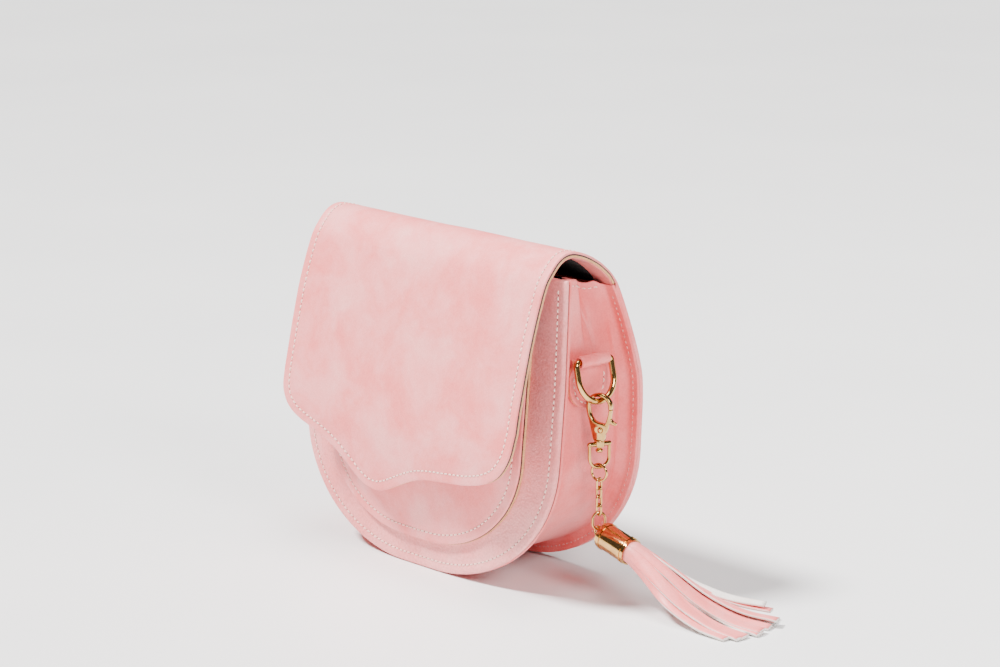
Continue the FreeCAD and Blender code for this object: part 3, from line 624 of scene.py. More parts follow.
# ---- Materials ----
class Look:
    """A material being made: its nodes, its shader, and the object coordinates its textures read."""

    def __init__(self, name):
        self.material = bpy.data.materials.new(name)
        self.material.use_nodes = True
        self.tree = self.material.node_tree
        self.tree.nodes.clear()
        out = self.add("OutputMaterial")
        self.shader = self.add("BsdfPrincipled")
        self.link(self.shader.outputs[0], out.inputs[0])
        self.where = self.add("TexCoord").outputs["Object"]

    def add(self, kind, **values):
        """A node with the given inputs and settings."""
        made = self.tree.nodes.new("ShaderNode" + kind)
        for key, value in values.items():
            if key in made.inputs:
                made.inputs[key].default_value = value
            else:
                setattr(made, key, value)
        return made

    def link(self, source, socket):
        self.tree.links.new(source, socket)

    def texture(self, kind, output=0, **values):
        made = self.add("Tex" + kind, **values)
        self.link(self.where, made.inputs["Vector"])
        return made.outputs[output]

    def ramp(self, source, *stops):
        """Colours along a value; each stop is a place and a colour."""
        made = self.add("ValToRGB")
        self.link(source, made.inputs[0])
        band = made.color_ramp
        while len(band.elements) < len(stops):
            band.elements.new(0.5)
        for element, (at, colour) in zip(band.elements, stops):
            element.position = at
            element.color = (*colour, 1)
        return made.outputs[0]

    def mix(self, first, second, amount, mode="MULTIPLY"):
        made = self.add("Mix", data_type="RGBA", blend_type=mode)
        made.inputs[0].default_value = amount
        self.link(first, made.inputs[6])
        self.link(second, made.inputs[7])
        return made.outputs[2]

    def paint(self, colour, values):
        """Links the colour and sets the shader's uniform numbers."""
        self.link(colour, self.shader.inputs["Base Color"])
        for key, value in values.items():
            self.shader.inputs[key].default_value = value

    def gloss(self, source, rough, smooth):
        """Roughness that follows a texture, from one value to the other."""
        tone = self.ramp(source, (0.3, (rough,) * 3), (0.7, (smooth,) * 3))
        self.link(tone, self.shader.inputs["Roughness"])

    def bump(self, *layers):
        """Bumps stacked one on the other; a layer is (height, strength, distance in metres)."""
        last = None
        for height, strength, distance in layers:
            made = self.add("Bump", Strength=strength, Distance=distance)
            self.link(height, made.inputs["Height"])
            if last:
                self.link(last.outputs[0], made.inputs["Normal"])
            last = made
        self.link(last.outputs[0], self.shader.inputs["Normal"])


WHITE = (1, 1, 1)


def leather(name, base, dark, pale, grain, grain_depth, cloud, roughness, pebble, crease):
    """Faux leather: cloudy colour, pebble grain with finer pores, and faint creases."""
    look = Look(name)
    clouds = look.texture("Noise", Scale=cloud, Detail=5, Roughness=0.62, Distortion=0.5)
    streaks = look.texture("Noise", Scale=cloud * 3.4, Detail=4, Roughness=0.7)
    specks = look.texture("Noise", Scale=grain * 0.9, Detail=2, Roughness=0.6)
    cells = look.texture("Voronoi", "Distance", Scale=grain, feature="SMOOTH_F1", Smoothness=0.6)
    pores = look.texture("Noise", Scale=grain * 2.2, Detail=3, Roughness=0.65)
    folds = look.texture("Noise", Scale=90, Detail=6, Roughness=0.66, Distortion=1.6)
    mottle = look.ramp(clouds, (0.4, dark), (0.51, base), (0.62, pale))
    fine = look.ramp(streaks, (0.36, dark), (0.52, base), (0.68, pale))
    speck = look.ramp(specks, (0.36, (0.9, 0.86, 0.86)), (0.6, WHITE))
    # darker colour along the borders of the grain's cells, its valleys: painted shade
    valley_shade = look.ramp(cells, (0.35, WHITE), (0.85, (0.9, 0.84, 0.84)))
    colour = look.mix(look.mix(mottle, fine, 0.35, "MIX"), speck, 0.8)
    look.paint(look.mix(colour, valley_shade, pebble),
               {"Specular IOR Level": 0.42, "Sheen Weight": 0.12, "Sheen Roughness": 0.45,
                "Subsurface Weight": 0.04, "Subsurface Radius": (0.004, 0.0016, 0.0012),
                "Subsurface Scale": 0.5})
    look.gloss(clouds, roughness + 0.07, roughness - 0.05)
    look.bump((folds, crease, 0.0004), (cells, pebble, grain_depth), (pores, 0.35, grain_depth * 0.6))
    return look.material


def fibre_board(name, colour, streak):
    """Raw cut board: pale, with short fibres."""
    look = Look(name)
    fibres = look.texture("Noise", Scale=1800, Detail=4, Roughness=0.7)
    bands = look.texture("Noise", Scale=160, Detail=3)
    tone = look.ramp(fibres, (0.35, streak), (0.62, colour))
    wide = look.ramp(bands, (0.35, (0.86, 0.84, 0.8)), (0.65, WHITE))
    look.paint(look.mix(tone, wide, 0.6), {"Roughness": 0.82})
    look.bump((fibres, 0.6, 0.0001))
    return look.material


def woven(name, colour, light):
    """Fine plain-weave lining."""
    look = Look(name)
    warp, weft = [look.texture("Wave", "Color", Scale=130, Distortion=0.6, Detail=1, bands_direction=turn)
                  for turn in ("X", "Z")]
    weave = look.mix(warp, weft, 1)
    look.paint(look.ramp(weave, (0.1, colour), (0.9, light)),
               {"Roughness": 0.92, "Specular IOR Level": 0.2, "Sheen Weight": 0.04})
    look.bump((weave, 0.5, 0.00008))
    return look.material


def plating(name, colour, warm, roughness):
    """Polished plated metal with faint hand marks and a warmer tone in patches."""
    look = Look(name)
    smear = look.texture("Noise", Scale=120, Detail=5, Roughness=0.6)
    fine = look.texture("Noise", Scale=2400, Detail=2)
    look.paint(look.ramp(smear, (0.35, warm), (0.6, colour)), {"Metallic": 1})
    look.gloss(smear, roughness + 0.08, roughness - 0.03)
    look.bump((fine, 0.1, 0.00003))
    return look.material


def cotton(name, colour, shade):
    """Twisted sewing thread."""
    look = Look(name)
    twist = look.texture("Wave", "Color", Scale=420, Distortion=1, Detail=1, bands_direction="DIAGONAL")
    look.paint(look.ramp(twist, (0.15, shade), (0.7, colour)), {"Roughness": 1, "Sheen Weight": 0.3})
    look.bump((twist, 0.4, 0.00008))
    return look.material


def plain_dark(name, colour, roughness):
    look = Look(name)
    grit = look.texture("Noise", Scale=900, Detail=3)
    dark = tuple(0.6 * c for c in colour)
    look.paint(look.ramp(grit, (0.3, dark), (0.7, colour)), {"Roughness": roughness})
    return look.material


flap_skin = leather("flap_skin", (0.92, 0.256, 0.25), (0.88, 0.175, 0.17), (0.935, 0.345, 0.338),
                    grain=1500, grain_depth=0.00005, cloud=30, roughness=0.54, pebble=0.25, crease=0.18)
panel_skin = leather("panel_skin", (0.92, 0.31, 0.302), (0.87, 0.225, 0.218), (0.935, 0.385, 0.375),
                     grain=900, grain_depth=0.00024, cloud=16, roughness=0.44, pebble=1, crease=0.15)
gusset_skin = leather("gusset_skin", (0.87, 0.185, 0.178), (0.81, 0.115, 0.11), (0.89, 0.25, 0.24),
                      grain=1200, grain_depth=0.00006, cloud=18, roughness=0.4, pebble=0.35, crease=0.6)
tassel_skin = leather("tassel_skin", (0.92, 0.245, 0.235), (0.88, 0.18, 0.172), (0.94, 0.33, 0.32),
                      grain=1500, grain_depth=0.00004, cloud=40, roughness=0.42, pebble=0.2, crease=0.25)
lining_skin = leather("lining_skin", (0.7, 0.2, 0.18), (0.64, 0.15, 0.135), (0.74, 0.26, 0.24),
                      grain=1400, grain_depth=0.00004, cloud=20, roughness=0.55, pebble=0.2, crease=0.2)
raw_edge = fibre_board("raw_edge", (0.74, 0.4, 0.19), (0.48, 0.22, 0.09))
tassel_back = fibre_board("tassel_back", (0.88, 0.83, 0.8), (0.74, 0.66, 0.62))
# near black: painted shadow in the gap between a leather's edge and the board under it
black_line = plain_dark("black_line", (0.035, 0.022, 0.02), 0.6)
# dark rose: painted shadow in the seam grooves
seam_shade = plain_dark("seam_shade", (0.22, 0.055, 0.045), 0.7)
# dark rose at the needle holes: the holes are real, their darkness is painted shade
needle_hole_shade = plain_dark("needle_hole_shade", (0.28, 0.085, 0.075), 0.8)
cloth = woven("dark_cloth", (0.01, 0.008, 0.008), (0.022, 0.018, 0.017))
gold = plating("pale_gold", (0.62, 0.38, 0.14), (0.44, 0.24, 0.07), roughness=0.11)
steel = plating("plain_steel", (0.62, 0.61, 0.6), (0.5, 0.49, 0.48), roughness=0.32)
thread = cotton("thread", (0.93, 0.7, 0.6), (0.84, 0.5, 0.42))
rose_thread = cotton("rose_thread", (0.8, 0.34, 0.3), (0.6, 0.18, 0.15))


# ---- Surfaces ----
def on_front_flat(x, z, h):
    return mm(x, FRONT_FOOT_Y + FRONT_SLOPE * z - h, z)


def ripple(a, b):
    """Slow unevenness of a boarded leather panel."""
    slow = uneven(a / 38, b / 38, 4)
    return 0.35 * slow + 0.1 * uneven(a / 14, b / 14, 9)


def on_wrap(a, b, h):
    """On the long leather: a across, b along it from the foot of the back."""
    y, z = wrap.at(b, h + ripple(a, b) * min(1, b / 20))
    return mm(a, y, z)


def dome(x, z):
    u = (x / DOME_ACROSS) ** 2 + ((z - DOME_HEIGHT) / DOME_UP) ** 2
    return DOME_RISE * (1 - u) ** 1.5 if u < 1 else 0


def on_front(x, z, h):
    """On the front wall: x across, z up, h out from its surface."""
    out = dome(x, z) + h + 0.5 * ripple(x + 70, z)
    y = FRONT_FOOT_Y + FRONT_SLOPE * z - out * FRONT_COS
    return mm(x, y, z - out * FRONT_SIN * min(1, z / 12))


# ---- The long leather ----
def ride_flap_front(obj):
    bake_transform(obj)


def ride_flap_top(obj):
    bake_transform(obj)


def flap():
    """Leather, a black sheet of painted shadow in the gap under its edge, raw board and lining of the flap's
    front piece, with its seam.
    """
    loop = flap_loop()
    # name, inset, top, bottom, material, rounding, spacing, slot, CAD node
    layers = [("flap_leather", 0, 0, -1.25, flap_skin, 0.55, 2.6, "leather_smooth", "flap_front_leather"),
              # the black sheet here is painted shadow in the gap between leather and board
              ("flap_glue_line", 0, -1.2, -1.85, black_line, 0.1, 5, "core_board"),
              ("flap_core", -0.15, -1.8, -2.85, raw_edge, 0.25, 4, "core_board", "flap_front_board"),
              ("flap_inside", 0.3, -2.8, -3.4, lining_skin, 0.25, 3, "lining_pink", "flap_front_lining"),
              ("flap_inside_cloth", CLOTH_INSET, -3.3, -3.8, cloth, 0.1, 3, "lining")]
    for name, inset, high, low, material, rounding, step, slot, *nodes in layers:
        relief = seam_relief if high == 0 else None
        piece = panel(name, inset_loop(loop, inset), on_wrap, high, low, material, rounding, step, relief,
                      at_split)
        ride_flap_front(piece)
        label(piece, slot, *nodes)
    seam = stitches("flap_stitches", inset_run(loop, off_split, SEAM_INSET), on_wrap, SEAM_LEVEL)
    ride_flap_front(seam)
    label(seam, "leather_smooth")


def back():
    """The back panel's leather running on into the flap, with its seam."""
    loop = back_loop()
    lip = np.where(loop[:, 1] < wrap.up_to(HINGE_Z) - 1, TURNED, 0)
    skin = panel("back_leather", loop, on_wrap, 0, -1.3, flap_skin, 1, 3, seam_relief, at_split, lip)
    ride_flap_top(skin)
    label(skin, "leather_grain", "back_panel_leather", "flap_top_leather")
    seam = stitches("back_stitches", inset_run(loop, off_split, SEAM_INSET), on_wrap, SEAM_LEVEL)
    ride_flap_top(seam)
    label(seam, "leather_grain")


def flap_top():
    """What lies under the leather in the flap's first stretch, from the hinge to the split."""
    # name, inset, top, bottom, material, slot, CAD node
    # the black sheet here is painted shadow in the gap between leather and board
    layers = [("flap_top_glue_line", 0, -1.25, -1.85, black_line, "core_board"),
              ("flap_top_core", -0.15, -1.8, -2.85, raw_edge, "core_board", "flap_top_board"),
              ("flap_top_inside", 0.3, -2.8, -3.4, lining_skin, "lining_pink", "flap_top_lining"),
              ("flap_top_inside_cloth", CLOTH_INSET, -3.3, -3.8, cloth, "lining")]
    foot = strip_loop(0)[:, 1].min()
    for name, inset, high, low, material, slot, *nodes in layers:
        piece = panel(name, strip_loop(inset), on_wrap, high, low, material, 0.1, 3.5, None,
                      lambda p: at_split(p) | (p[:, 1] < foot + 1e-6))
        settle(piece, slot, *nodes, body="flap_top")


def back_board():
    board = panel("back_stiffener", back_u(BOARD_INSET, 2.5), on_wrap, -1.33, -2.95, raw_edge, 0.2, 5)
    settle(board, "core_board", "back_board")


# ---- Front and walls ----
def front():
    """Front panel with its seam and stiffener."""
    loop = front_u()
    skin = panel("front_leather", loop, on_front, 0, -1.4, panel_skin, 1.2, 2.8, seam_relief, lip=TURNED)
    settle(skin, "leather_grain", "front_panel_leather")
    run = inset_run(loop, lambda p: p[:, 1] < RIM_FRONT_Z - 3, SEAM_INSET)
    settle(stitches("front_stitches", run, on_front, SEAM_LEVEL), "leather_grain")
    board = panel("front_stiffener", front_u(BOARD_INSET), on_front, -1.42, -2.95, raw_edge, 0.2, 5)
    settle(board, "core_board", "front_board")


def overlay():
    """The shaped layer on the front panel, with its raw core, a black sheet of painted shadow in the gap
    above the core, and its seam.
    """
    over = u_loop(OVERLAY_HALF, OVERLAY_FOOT, OVERLAY_HALF, OVERLAY_TOP)
    out = -inward(over)
    skin = panel("overlay_skin", over, on_front, OVERLAY_FACE, 1.65, flap_skin, 0.6, 2.6, seam_relief)
    core = panel("overlay_core", over + out * 0.55, on_front, 1.5, 0.05, raw_edge, 0.3, 4)
    # a black sheet of painted shadow in the gap between the leather and its core
    gap_shadow_sheet = panel("overlay_painted_gap_shadow", over + out * 0.25, on_front, 1.75, 1.4, black_line, 0.05, 6)
    run = inset_run(over, lambda p: p[:, 1] < OVERLAY_TOP - 3, SEAM_INSET)
    settle(skin, "leather_smooth", "overlay_leather")
    settle(core, "core_board", "overlay_board")
    settle(gap_shadow_sheet, "core_board")
    settle(stitches("overlay_stitches", run, on_front, OVERLAY_FACE + SEAM_LEVEL), "leather_smooth")


def seam_shadows():
    """The dark line of painted shadow in the groove between each panel's turned edge and the gusset's flange.
    """
    below = wrap.up_to(HINGE_Z) - 1.5
    front_run = inset_run(front_u(), lambda p: p[:, 1] < RIM_FRONT_Z - 1, 0.55)
    back_run = inset_run(back_loop(), lambda p: p[:, 1] < below, 0.5)
    settle(painted_shadow_tube("front_seam_painted_shadow", front_run, on_front_flat, -3.02, 0.16, seam_shade), "leather_gusset")
    settle(painted_shadow_tube("back_seam_painted_shadow", back_run, on_wrap, -2.98, 0.26, seam_shade), "leather_gusset")


def wall_linings():
    """Dark cloth inside the front and back walls, stopping at the gusset."""
    inset = GUSSET_INSET + 1.6
    loop = u_loop(HALF_WIDTH - inset, inset, FRONT_RIM_HALF - inset, RIM_FRONT_Z - 0.6)
    front_cloth = panel("front_inner_cloth", loop, on_front, -2.97, -3.5, cloth, 0.2, 4)
    back_cloth = panel("back_inner_cloth", back_u(inset, 1.5), on_wrap, -3.02, -3.55, cloth, 0.2, 4)
    settle(front_cloth, "lining", "front_lining")
    settle(back_cloth, "lining", "back_lining")


# ---- Gusset ----
def gusset_path(count):
    """The gusset's U from the right rim to the left: points and outward directions."""
    right = u_right(HALF_WIDTH, 0, FRONT_RIM_HALF, RIM_FRONT_Z)[::-1]
    left = [(-x, z) for x, z in right[::-1][1:]]
    run = resample(right + left, 0.5)
    t = headings(run)
    out = np.column_stack([-t[:, 1], t[:, 0]])
    pick = np.linspace(0, len(run) - 1, count).astype(int)
    return run[pick], out[pick]


def gusset_rows(depth, flange, count=40):
    """Across the gusset: depth from its front face and inset from the edge."""
    turns = [pi / 2 * k / 3 for k in range(4)]
    start = [(0, inset) for inset in (0, 1.4, 2.8)]
    start += [(GUSSET_BEND * (1 - cos(a)), GUSSET_INSET - GUSSET_BEND * (1 - sin(a)))
              for a in turns]
    if not flange:
        start = [(-0.6, GUSSET_INSET), (0.3, GUSSET_INSET)]
    first = start[-1][0]
    wall = [(first + (depth - 2 * first) * k / count, GUSSET_INSET) for k in range(1, count)]
    return start + wall + [(depth - y, inset) for y, inset in reversed(start)]


def hollow_under_rim(x, share, z):
    """The deep hollow where the band folds in under its rim, and the roll of the rim above it."""
    lip, far, deepest = (0.4, 0.94, 10.5) if x > 0 else (0.34, 0.86, 7.5)
    across = pinch(share, lip, lip + 0.09) * (1 - pinch(share, lip + 0.1, far)) ** 0.8
    roll = 1.2 * hump(share, lip - 0.05, 0.06) * pinch(z, 116, 178)
    return deepest * pinch(z, 114, 150) ** 1.2 * across - roll


def fold_in(x, share, z):
    """How far the band folds inwards: hollow, slack, three long creases, and puckers at the corner."""
    middle = sin(pi * max(0, min(1, share)))
    slack = 1.3 * middle ** 2 * hump(z, 92, 55)
    drift = 0.58 + 0.0016 * (z - 120)
    crease = 1.1 * hump(share, drift, 0.03) * pinch(z, 66, 112)
    rear = 1.3 * hump(share, 0.9, 0.035) * pinch(z, 14, 40) * (1 - pinch(z, 118, 140))
    fore = 0.7 * hump(share, 0.12, 0.045) * (1 - pinch(z, 60, 90))
    wave = 0.9 * sin(7 * share + z * 0.21) + 0.6 * sin(15 * share - z * 0.11)
    puckers = hump(z, 22, 16) * middle * wave
    return hollow_under_rim(x, share, z) + slack + crease + rear + fore + puckers


def gap_between(z):
    """Where the front flange's free face is at a height, and how far the back flange's is behind it."""
    front_y = FRONT_FOOT_Y + FRONT_SLOPE * z + FLANGE_FACE
    return front_y, wrap.depth_at(z) - FLANGE_FACE - front_y


def rim_drop(share):
    """How far the gusset's rim is below its front end."""
    return 4.6 * share + 2.6 * hump(share, 0.74, 0.13) + 2.6 * pinch(share, 0.84, 1)


def gusset_point(x, z, nx, nz, share, dy, inset, sink):
    """A point of the band, from a point of its path and the way outwards there."""
    level = z - rim_drop(share) * max(0, (z - 120) / 36) - (0.6 if sink > 1 else 0)
    front_y, local_depth = gap_between(level)
    upright = nx * nx
    wall = max(0, inset / GUSSET_INSET) ** 3
    q = inset + (fold_in(x, share, level) * upright + sink) * wall
    q += (FRONT_RIM_HALF - BACK_RIM_HALF) * lean(level) * share * upright
    q -= 0.4 * uneven(x / 16, dy / 9, z / 16) * wall
    y = front_y + dy + share * (local_depth - gap_between(z)[1])
    return mm(x - nx * q, y, level - nz * q)


def gusset_sheet(name, sink, flange, material, thickness):
    """The side and bottom band, or the lining that follows it sink deeper."""
    path, out = gusset_path(230)
    verts = []
    for (x, z), (nx, nz) in zip(path, out):
        depth = gap_between(z)[1]
        rows = gusset_rows(depth, flange)
        verts += [gusset_point(x, z, nx, nz, dy / depth, dy, inset, sink) for dy, inset in rows]
    obj = new_object(name, verts, sheet_faces(len(path), len(rows)), [material])
    finish_shell(obj, thickness, 0.25)
    return obj


def gusset():
    skin = gusset_sheet("gusset_band", 0, True, gusset_skin, GUSSET_LEATHER)
    inner = gusset_sheet("gusset_inner_cloth", 1.6, False, cloth, CLOTH)
    settle(skin, "leather_gusset", "gusset_leather")
    settle(inner, "lining", "gusset_lining")


def on_rim(side):
    """A place on the band near its rim: a is the share from front to back, b how far below the rim."""
    def place(a, b, h):
        z = RIM_FRONT_Z - b
        x = HALF_WIDTH - (HALF_WIDTH - FRONT_RIM_HALF) * lean(z)
        share = a / 100
        return gusset_point(side * x, z, side, 0.04, share, share * gap_between(z)[1], GUSSET_INSET, -h)
    return place


def on_back_flange(x, z, h):
    front_y, depth = gap_between(z)
    return mm(x, front_y + depth - h, z)


def on_front_flange(x, z, h):
    return mm(x, gap_between(z)[0] + h, z)


def gusset_seams():
    """Stitching through both flanges and the hems of the two rims."""
    below = lambda p: p[:, 1] < 146
    back_run = inset_run(u_loop(HALF_WIDTH, 0, BACK_RIM_HALF, 148), below, 3)
    front_run = inset_run(u_loop(HALF_WIDTH, 0, FRONT_RIM_HALF, 152), below, SEAM_INSET - 1)
    hem = [(share, 3.4) for share in range(12, 92, 2)]
    for name, run, place in (("back_flange_stitches", back_run, on_back_flange),
                             ("front_flange_stitches", front_run, on_front_flange)):
        seam = stitches(name, run, place, -0.1, radius=FLANGE_THREAD, yarn=rose_thread)
        settle(seam, "leather_gusset")
    for side, end in ((1, "right"), (-1, "left")):
        seam = stitches(f"rim_{end}_stitches", hem, on_rim(side), -0.05, radius=0.26)
        settle(seam, "leather_gusset")


# ---- Ring tabs ----
def on_tab(side):
    """A place on a tab: a along Y, b up, h out from the tab's outer face."""
    return lambda a, b, h: mm(side * (TAB_FACE + h), TAB_Y + a, b)


def tab_outline(width, foot, top, neck):
    """A tab's outline: a round foot, straight sides, and a narrower neck at the ring."""
    half = width / 2
    turns = [pi / 2 * k / 14 for k in range(15)]
    run = [(half * sin(a), foot + half - half * cos(a)) for a in turns]
    run += [(half, TAB_SHOULDER), (half - 0.8, TAB_SHOULDER + 2.5), (neck / 2 + 0.6, TAB_SHOULDER + 4.1),
            (neck / 2, TAB_SHOULDER + 5.5), (neck / 2, top)]
    right = resample(run, 0.9)
    return closed_by(right, resample([right[-1], right[-1] * [-1, 1]], 0.9))


def ring_loop(name, side):
    """The strip of leather that wraps the ring's bar."""
    half, thick = TAB_NECK / 2, 0.6
    angles = [radians(a) for a in range(-150, 196, 15)]
    centre = [(RING_X + LOOP_MID * cos(a), RING_Z + LOOP_MID * sin(a)) for a in angles]
    centre = np.array([(TAB_FACE - 0.4, RING_Z - 4.2)] + centre + [(TAB_FACE - 0.6, RING_Z - 0.8)])
    t = headings(centre)
    turns = [-pi / 2 + pi * k / 8 for k in range(9)]
    section = [(half - thick + thick * cos(a), thick * sin(a)) for a in turns]
    section += [(-y, h) for y, h in reversed(section)]
    verts = []
    for (x, z), (nx, nz) in zip(centre, np.column_stack([t[:, 1], -t[:, 0]])):
        for y, h in section:
            sag = h + 0.12 * uneven(y / 4, x / 3, z / 3)
            verts.append(mm(side * (x + nx * sag), TAB_Y + y, z + nz * sag))
    return face_outward(new_object(name, verts, tube_faces(len(centre), len(section)), [gusset_skin]))


def tab_relief(a, b, d):
    return -0.16 * hump(d, 2.6, 0.5)


def tab(side, end):
    """Two plies with a raw core, sewn together under the ring, and the loop round its bar."""
    place = on_tab(side)
    outer = tab_outline(TAB_WIDTH, TAB_FOOT, TAB_TOP, TAB_NECK)
    inner = tab_outline(TAB_WIDTH - 0.2, TAB_FOOT + 0.1, TAB_TOP - 0.2, TAB_NECK - 0.2)
    run = inset_run(outer, lambda p: p[:, 1] < 110, 2.6)
    face = panel(f"tab_{end}_outer", outer, place, 0, -0.85, gusset_skin, 0.35, 1.6, tab_relief)
    settle(face, "leather_gusset", f"tab_{end}")
    for piece in (panel(f"tab_{end}_core", inner, place, -0.75, -1.75, raw_edge, 0.1, 4),
                  panel(f"tab_{end}_inner", outer, place, -1.65, -2.4, gusset_skin, 0.3, 3),
                  ring_loop(f"tab_{end}_ring_loop", side),
                  stitches(f"tab_{end}_stitches", run, place, -0.12, long=2.2, gap=0.9, radius=0.27)):
        settle(piece, "leather_gusset")


# ---- Tassel ----
def tassel_place(x, y, z):
    """From the tassel's own frame, eye at the origin and cap along +X, to its place."""
    c, s = cos(radians(CAP_PITCH)), sin(radians(CAP_PITCH))
    return mm(CHAIN_X + x * c + z * s, TAB_Y + y, EYE_Z - x * s + z * c)


def tassel_roll():
    """The rolled end of the tassel's leather, a spiral that shows in front of the cap."""
    rows, around = 16, 96
    verts = []
    for r in range(rows):
        x = ROLL_START + (ROLL_END - ROLL_START) * r / (rows - 1)
        swell = 0.35 * sin(pi * r / (rows - 1)) - 0.9 * pinch(x, ROLL_END - 6, ROLL_END)
        for q in range(around + 1):
            a = 2 * pi * ROLL_TURNS * q / around + 0.6
            radius = 3.6 + 1.6 * q / around + swell + 0.15 * uneven(x / 3, a, 2)
            verts.append(tassel_place(x, radius * sin(a), radius * cos(a)))
    obj = new_object("tassel_roll", verts, sheet_faces(rows, around + 1), [tassel_skin])
    finish_shell(obj, 0.9, 0.2)
    return obj


def strand_line(fan, turn, radius, tip, length, drift):
    """Middle of one strand: along inside the roll, out of it, and down to the ground."""
    run = []
    for x, sink in ((CAP_START + 4, 0.9), (18, 0.8), (22.5, 0.3), (27, 0)):
        r = radius - sink
        run.append(tassel_place(x, r * sin(turn), r * cos(turn)) / MM)
    start = run[-1]
    for share, drop in ((0.25, 0.33), (0.5, 0.69), (0.75, 0.92), (1, 1)):
        aim = radians(fan + drift * share ** 2)
        run.append(Vector((start.x + length * share * cos(aim), start.y + length * share * sin(aim),
                           start.z + (tip - start.z) * drop)))
    return catmull(run, 8)


def strand_section(width):
    """A strand's outline: the coloured face is sides 1 to 8, the rest is its pale back and edges."""
    half, thick = width / 2, 0.62
    section = [(-half, -thick), (-half, thick - 0.28), (-half + 0.3, thick)]
    section += [(half * k / 3, thick + 0.12) for k in (-2, -1, 0, 1, 2)]
    return section + [(half - 0.3, thick), (half, thick - 0.28), (half, -thick), (half / 2, -thick - 0.1),
                      (0, -thick - 0.1), (-half / 2, -thick - 0.1)]


def turned_axes(aim, heading, roll):
    """Across and up for a strip that faces aim, turned about its own length by roll."""
    across = np.cross(aim, heading)
    across /= np.linalg.norm(across)
    up = np.cross(heading, across)
    return (across * cos(roll) + up * sin(roll),
            up * cos(roll) - across * sin(roll))


def strand(name, fan, turn, radius, tip, length, width, drift, twist):
    """A strip that starts curved round the roll and flattens, with a pale fibre back."""
    turn = radians(turn)
    run = strand_line(fan, turn, radius, tip, length, drift)
    section = strand_section(width)
    radial = np.array(tassel_place(0, sin(turn), cos(turn)) - tassel_place(0, 0, 0)) / MM
    level = np.array((0, 0, 1 if cos(turn) > -0.6 else -1))
    verts = []
    for k, (p, heading) in enumerate(zip(run, headings(run))):
        share = k / (len(run) - 1)
        free = pinch(share, 0.34, 0.85)
        roll = radians(twist * sin(pi * share * 0.9)) * free
        roll += 0.07 * free * uneven(share * 4, fan, 0)
        across, up = turned_axes(radial * (1 - free) + level * free, heading, roll)
        for y, h in section:
            cup = -(1 - free) * y * y / (2 * radius) + 0.3 * free * (1 - (2 * y / width) ** 2) * (1 - share)
            verts.append(Vector(p + across * y + up * (h + cup)) * MM)
    slots = [0 if 1 <= j < 9 else 1 for j in range(len(section))] * (len(run) - 1) + [1, 1]
    faces = tube_faces(len(run), len(section))
    return face_outward(new_object(name, verts, faces, [tassel_skin, tassel_back], slots))


def tassel():
    settle(tassel_roll(), "leather_tassel", "tassel_fringe", body="tassel")
    for k, row in enumerate(STRANDS):
        settle(strand(f"tassel_strand_{k + 1:02d}", *row), "leather_tassel", body="tassel")


# ---- Clasp ----
def clasp_place(u, y, w):
    """From the clasp's own plane (u across, w up from the hook's centre) to its place."""
    c, t = cos(radians(CLASP_TURN)), sin(radians(CLASP_TURN))
    return mm(CHAIN_X + u * c - y * t, TAB_Y + u * t + y * c, HOOK_Z + w)


def cast(name, outline, thick, soft, holes=()):
    """A flat cast piece with rounded edges, from an outline and holes in its own plane."""
    curve = bpy.data.curves.new(name, "CURVE")
    curve.dimensions = "2D"
    curve.fill_mode = "BOTH"
    curve.extrude = thick / 2 - soft
    curve.bevel_depth = soft
    curve.bevel_resolution = 3
    curve.offset = -soft
    for points in [outline, *holes]:
        spline = curve.splines.new("POLY")
        spline.points.add(len(points) - 1)
        for point, (u, w) in zip(spline.points, points):
            point.co = (u, w, 0, 1)
        spline.use_cyclic_u = True
    flat = add_object(name + "_outline", curve)
    mesh = from_modifiers(flat)
    bpy.data.objects.remove(flat)
    verts = [clasp_place(v.co.x, v.co.z, v.co.y) for v in mesh.vertices]
    faces = [tuple(p.vertices) for p in mesh.polygons]
    bpy.data.meshes.remove(mesh)
    return face_outward(new_object(name, verts, faces, [gold]), weld=1e-6)


def closed_curve(points, per):
    """A smooth closed run through the points."""
    run = catmull([points[-1]] + points + [points[0], points[1]], per)
    return run[per:-per - 1]


def circle(u, w, radius, count=24):
    return [(u + radius * cos(a), w + radius * sin(a)) for a in split_turn(count)]


def lathe(name, profile, place, around=28):
    """A turned piece of plated metal: (radius, height) points about an axis."""
    verts = [place(a, b, h) for r, h in profile for a, b in circle(0, 0, r, around)]
    return face_outward(new_object(name, verts, tube_faces(len(profile), around), [gold]))


def clasp():
    """The hook with its post and rivet, and the gate on its own body."""
    hook = cast("clasp_hook", closed_curve(CLASP_OUTLINE, 6), 2.9, 0.65, [circle(PIN_U, PIN_W, 0.95)])
    gate = cast("clasp_gate", closed_curve(GATE_OUTLINE, 5), 2, 0.5)
    post = lathe("clasp_post", [(0.6, -16.3), (2.3, -16.4), (2.6, -16.8), (2.3, -17.2), (1.05, -17.4),
                                (1.05, -20.6), (1.7, -20.9), (1.9, -21.5), (1.6, -22.2), (0.7, -22.6)],
                 clasp_place)
    rivet = lathe("clasp_rivet", [(0.5, -1.86), (1.15, -1.8), (1.3, -1.55), (1.3, -1.4), (0.9, -1.35),
                                  (0.9, 1.35), (1.3, 1.4), (1.3, 1.55), (1.15, 1.8), (0.5, 1.86)],
                  lambda a, b, h: clasp_place(PIN_U + a, h, PIN_W + b))
    settle(hook, "gold", "clasp_body", body="clasp")
    settle(post, "gold", body="clasp")
    settle(rivet, "gold", "clasp_pin", body="clasp")
    settle(gate, "gold", "clasp_lever", body="lever")


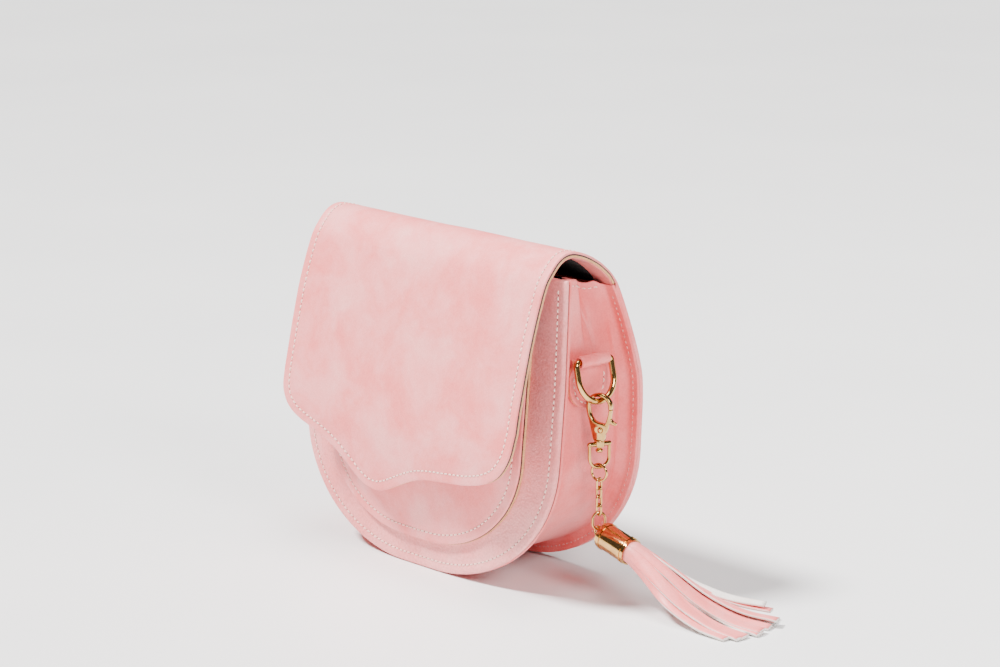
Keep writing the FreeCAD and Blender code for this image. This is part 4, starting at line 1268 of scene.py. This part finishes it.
# ---- Carried-over CAD nodes ----
def paint_cad():
    """Gives each CAD node that stays the material of its slot."""
    slots = {"gold": gold, "steel": steel, "lining": cloth, "leather_gusset": gusset_skin,
             "leather_tassel": tassel_skin, "core_board": raw_edge, "lining_pink": lining_skin,
             "leather_smooth": flap_skin, "leather_grain": panel_skin}
    named = {s["node"]: s["material_slot"] for s in frame["record"]["subparts"]}
    for name, obj in frame["nodes"].items():
        material = slots[named[name]]
        if obj.material_slots:
            for slot in obj.material_slots:
                slot.material = material
        else:
            obj.data.materials.append(material)


# ---- Stage ----
def stage():
    """Floor, sky and lights."""
    look = Look("pale_floor")
    drift = look.texture("Noise", Scale=5, Detail=4)
    look.paint(look.ramp(drift, (0.3, (0.84, 0.84, 0.845)), (0.7, (0.88, 0.88, 0.88))), {"Roughness": 0.42})
    size = FLOOR_HALF
    corners_of_floor = [(-size, -size, 0), (size, -size, 0), (size, size, 0), (-size, size, 0)]
    floor = new_object("floor", corners_of_floor, [(0, 1, 2, 3)], [look.material])
    floor.location.z = -0.0003
    world = bpy.data.worlds.new("studio")
    bpy.context.scene.world = world
    world.use_nodes = True
    world.node_tree.nodes["Background"].inputs[0].default_value = (1, 0.99, 0.985, 1)
    world.node_tree.nodes["Background"].inputs[1].default_value = SKY
    sun = light("key", "SUN", SUN_STRENGTH, SUN_FROM, (0, 0, 0))
    sun.angle = radians(SUN_SPREAD)
    for name, where, size, power in LAMPS:
        lamp = light(name, "AREA", power, where, LAMP_AIM)
        lamp.shape = "DISK"
        lamp.size = size


def aimed(name, data, where, away):
    """An object at a place that looks against the direction away."""
    obj = add_object(name, data)
    obj.location = where
    obj.rotation_euler = (-away).to_track_quat("-Z", "Y").to_euler()
    return obj


def light(name, kind, power, where, target):
    """A light at a place that shines on a target."""
    made = bpy.data.lights.new(name, kind)
    made.energy = power
    made.color = WARM_WHITE
    aimed(name, made, where, Vector(where) - Vector(target))
    return made


def camera():
    data = bpy.data.cameras.new("camera")
    data.lens = LENS
    data.sensor_width = SENSOR
    data.clip_start = 0.05
    turn, pitch = radians(AZIMUTH), radians(ELEVATION)
    away = Vector((sin(turn) * cos(pitch), -cos(turn) * cos(pitch), sin(pitch)))
    bpy.context.scene.camera = aimed("camera", data, Vector(TARGET) + away * DISTANCE, away)


camera()
stage()
paint_cad()
flap()
back()
flap_top()
back_board()
front()
overlay()
gusset()
gusset_seams()
wall_linings()
seam_shadows()
tab(1, "right")
tab(-1, "left")
tassel()
clasp()
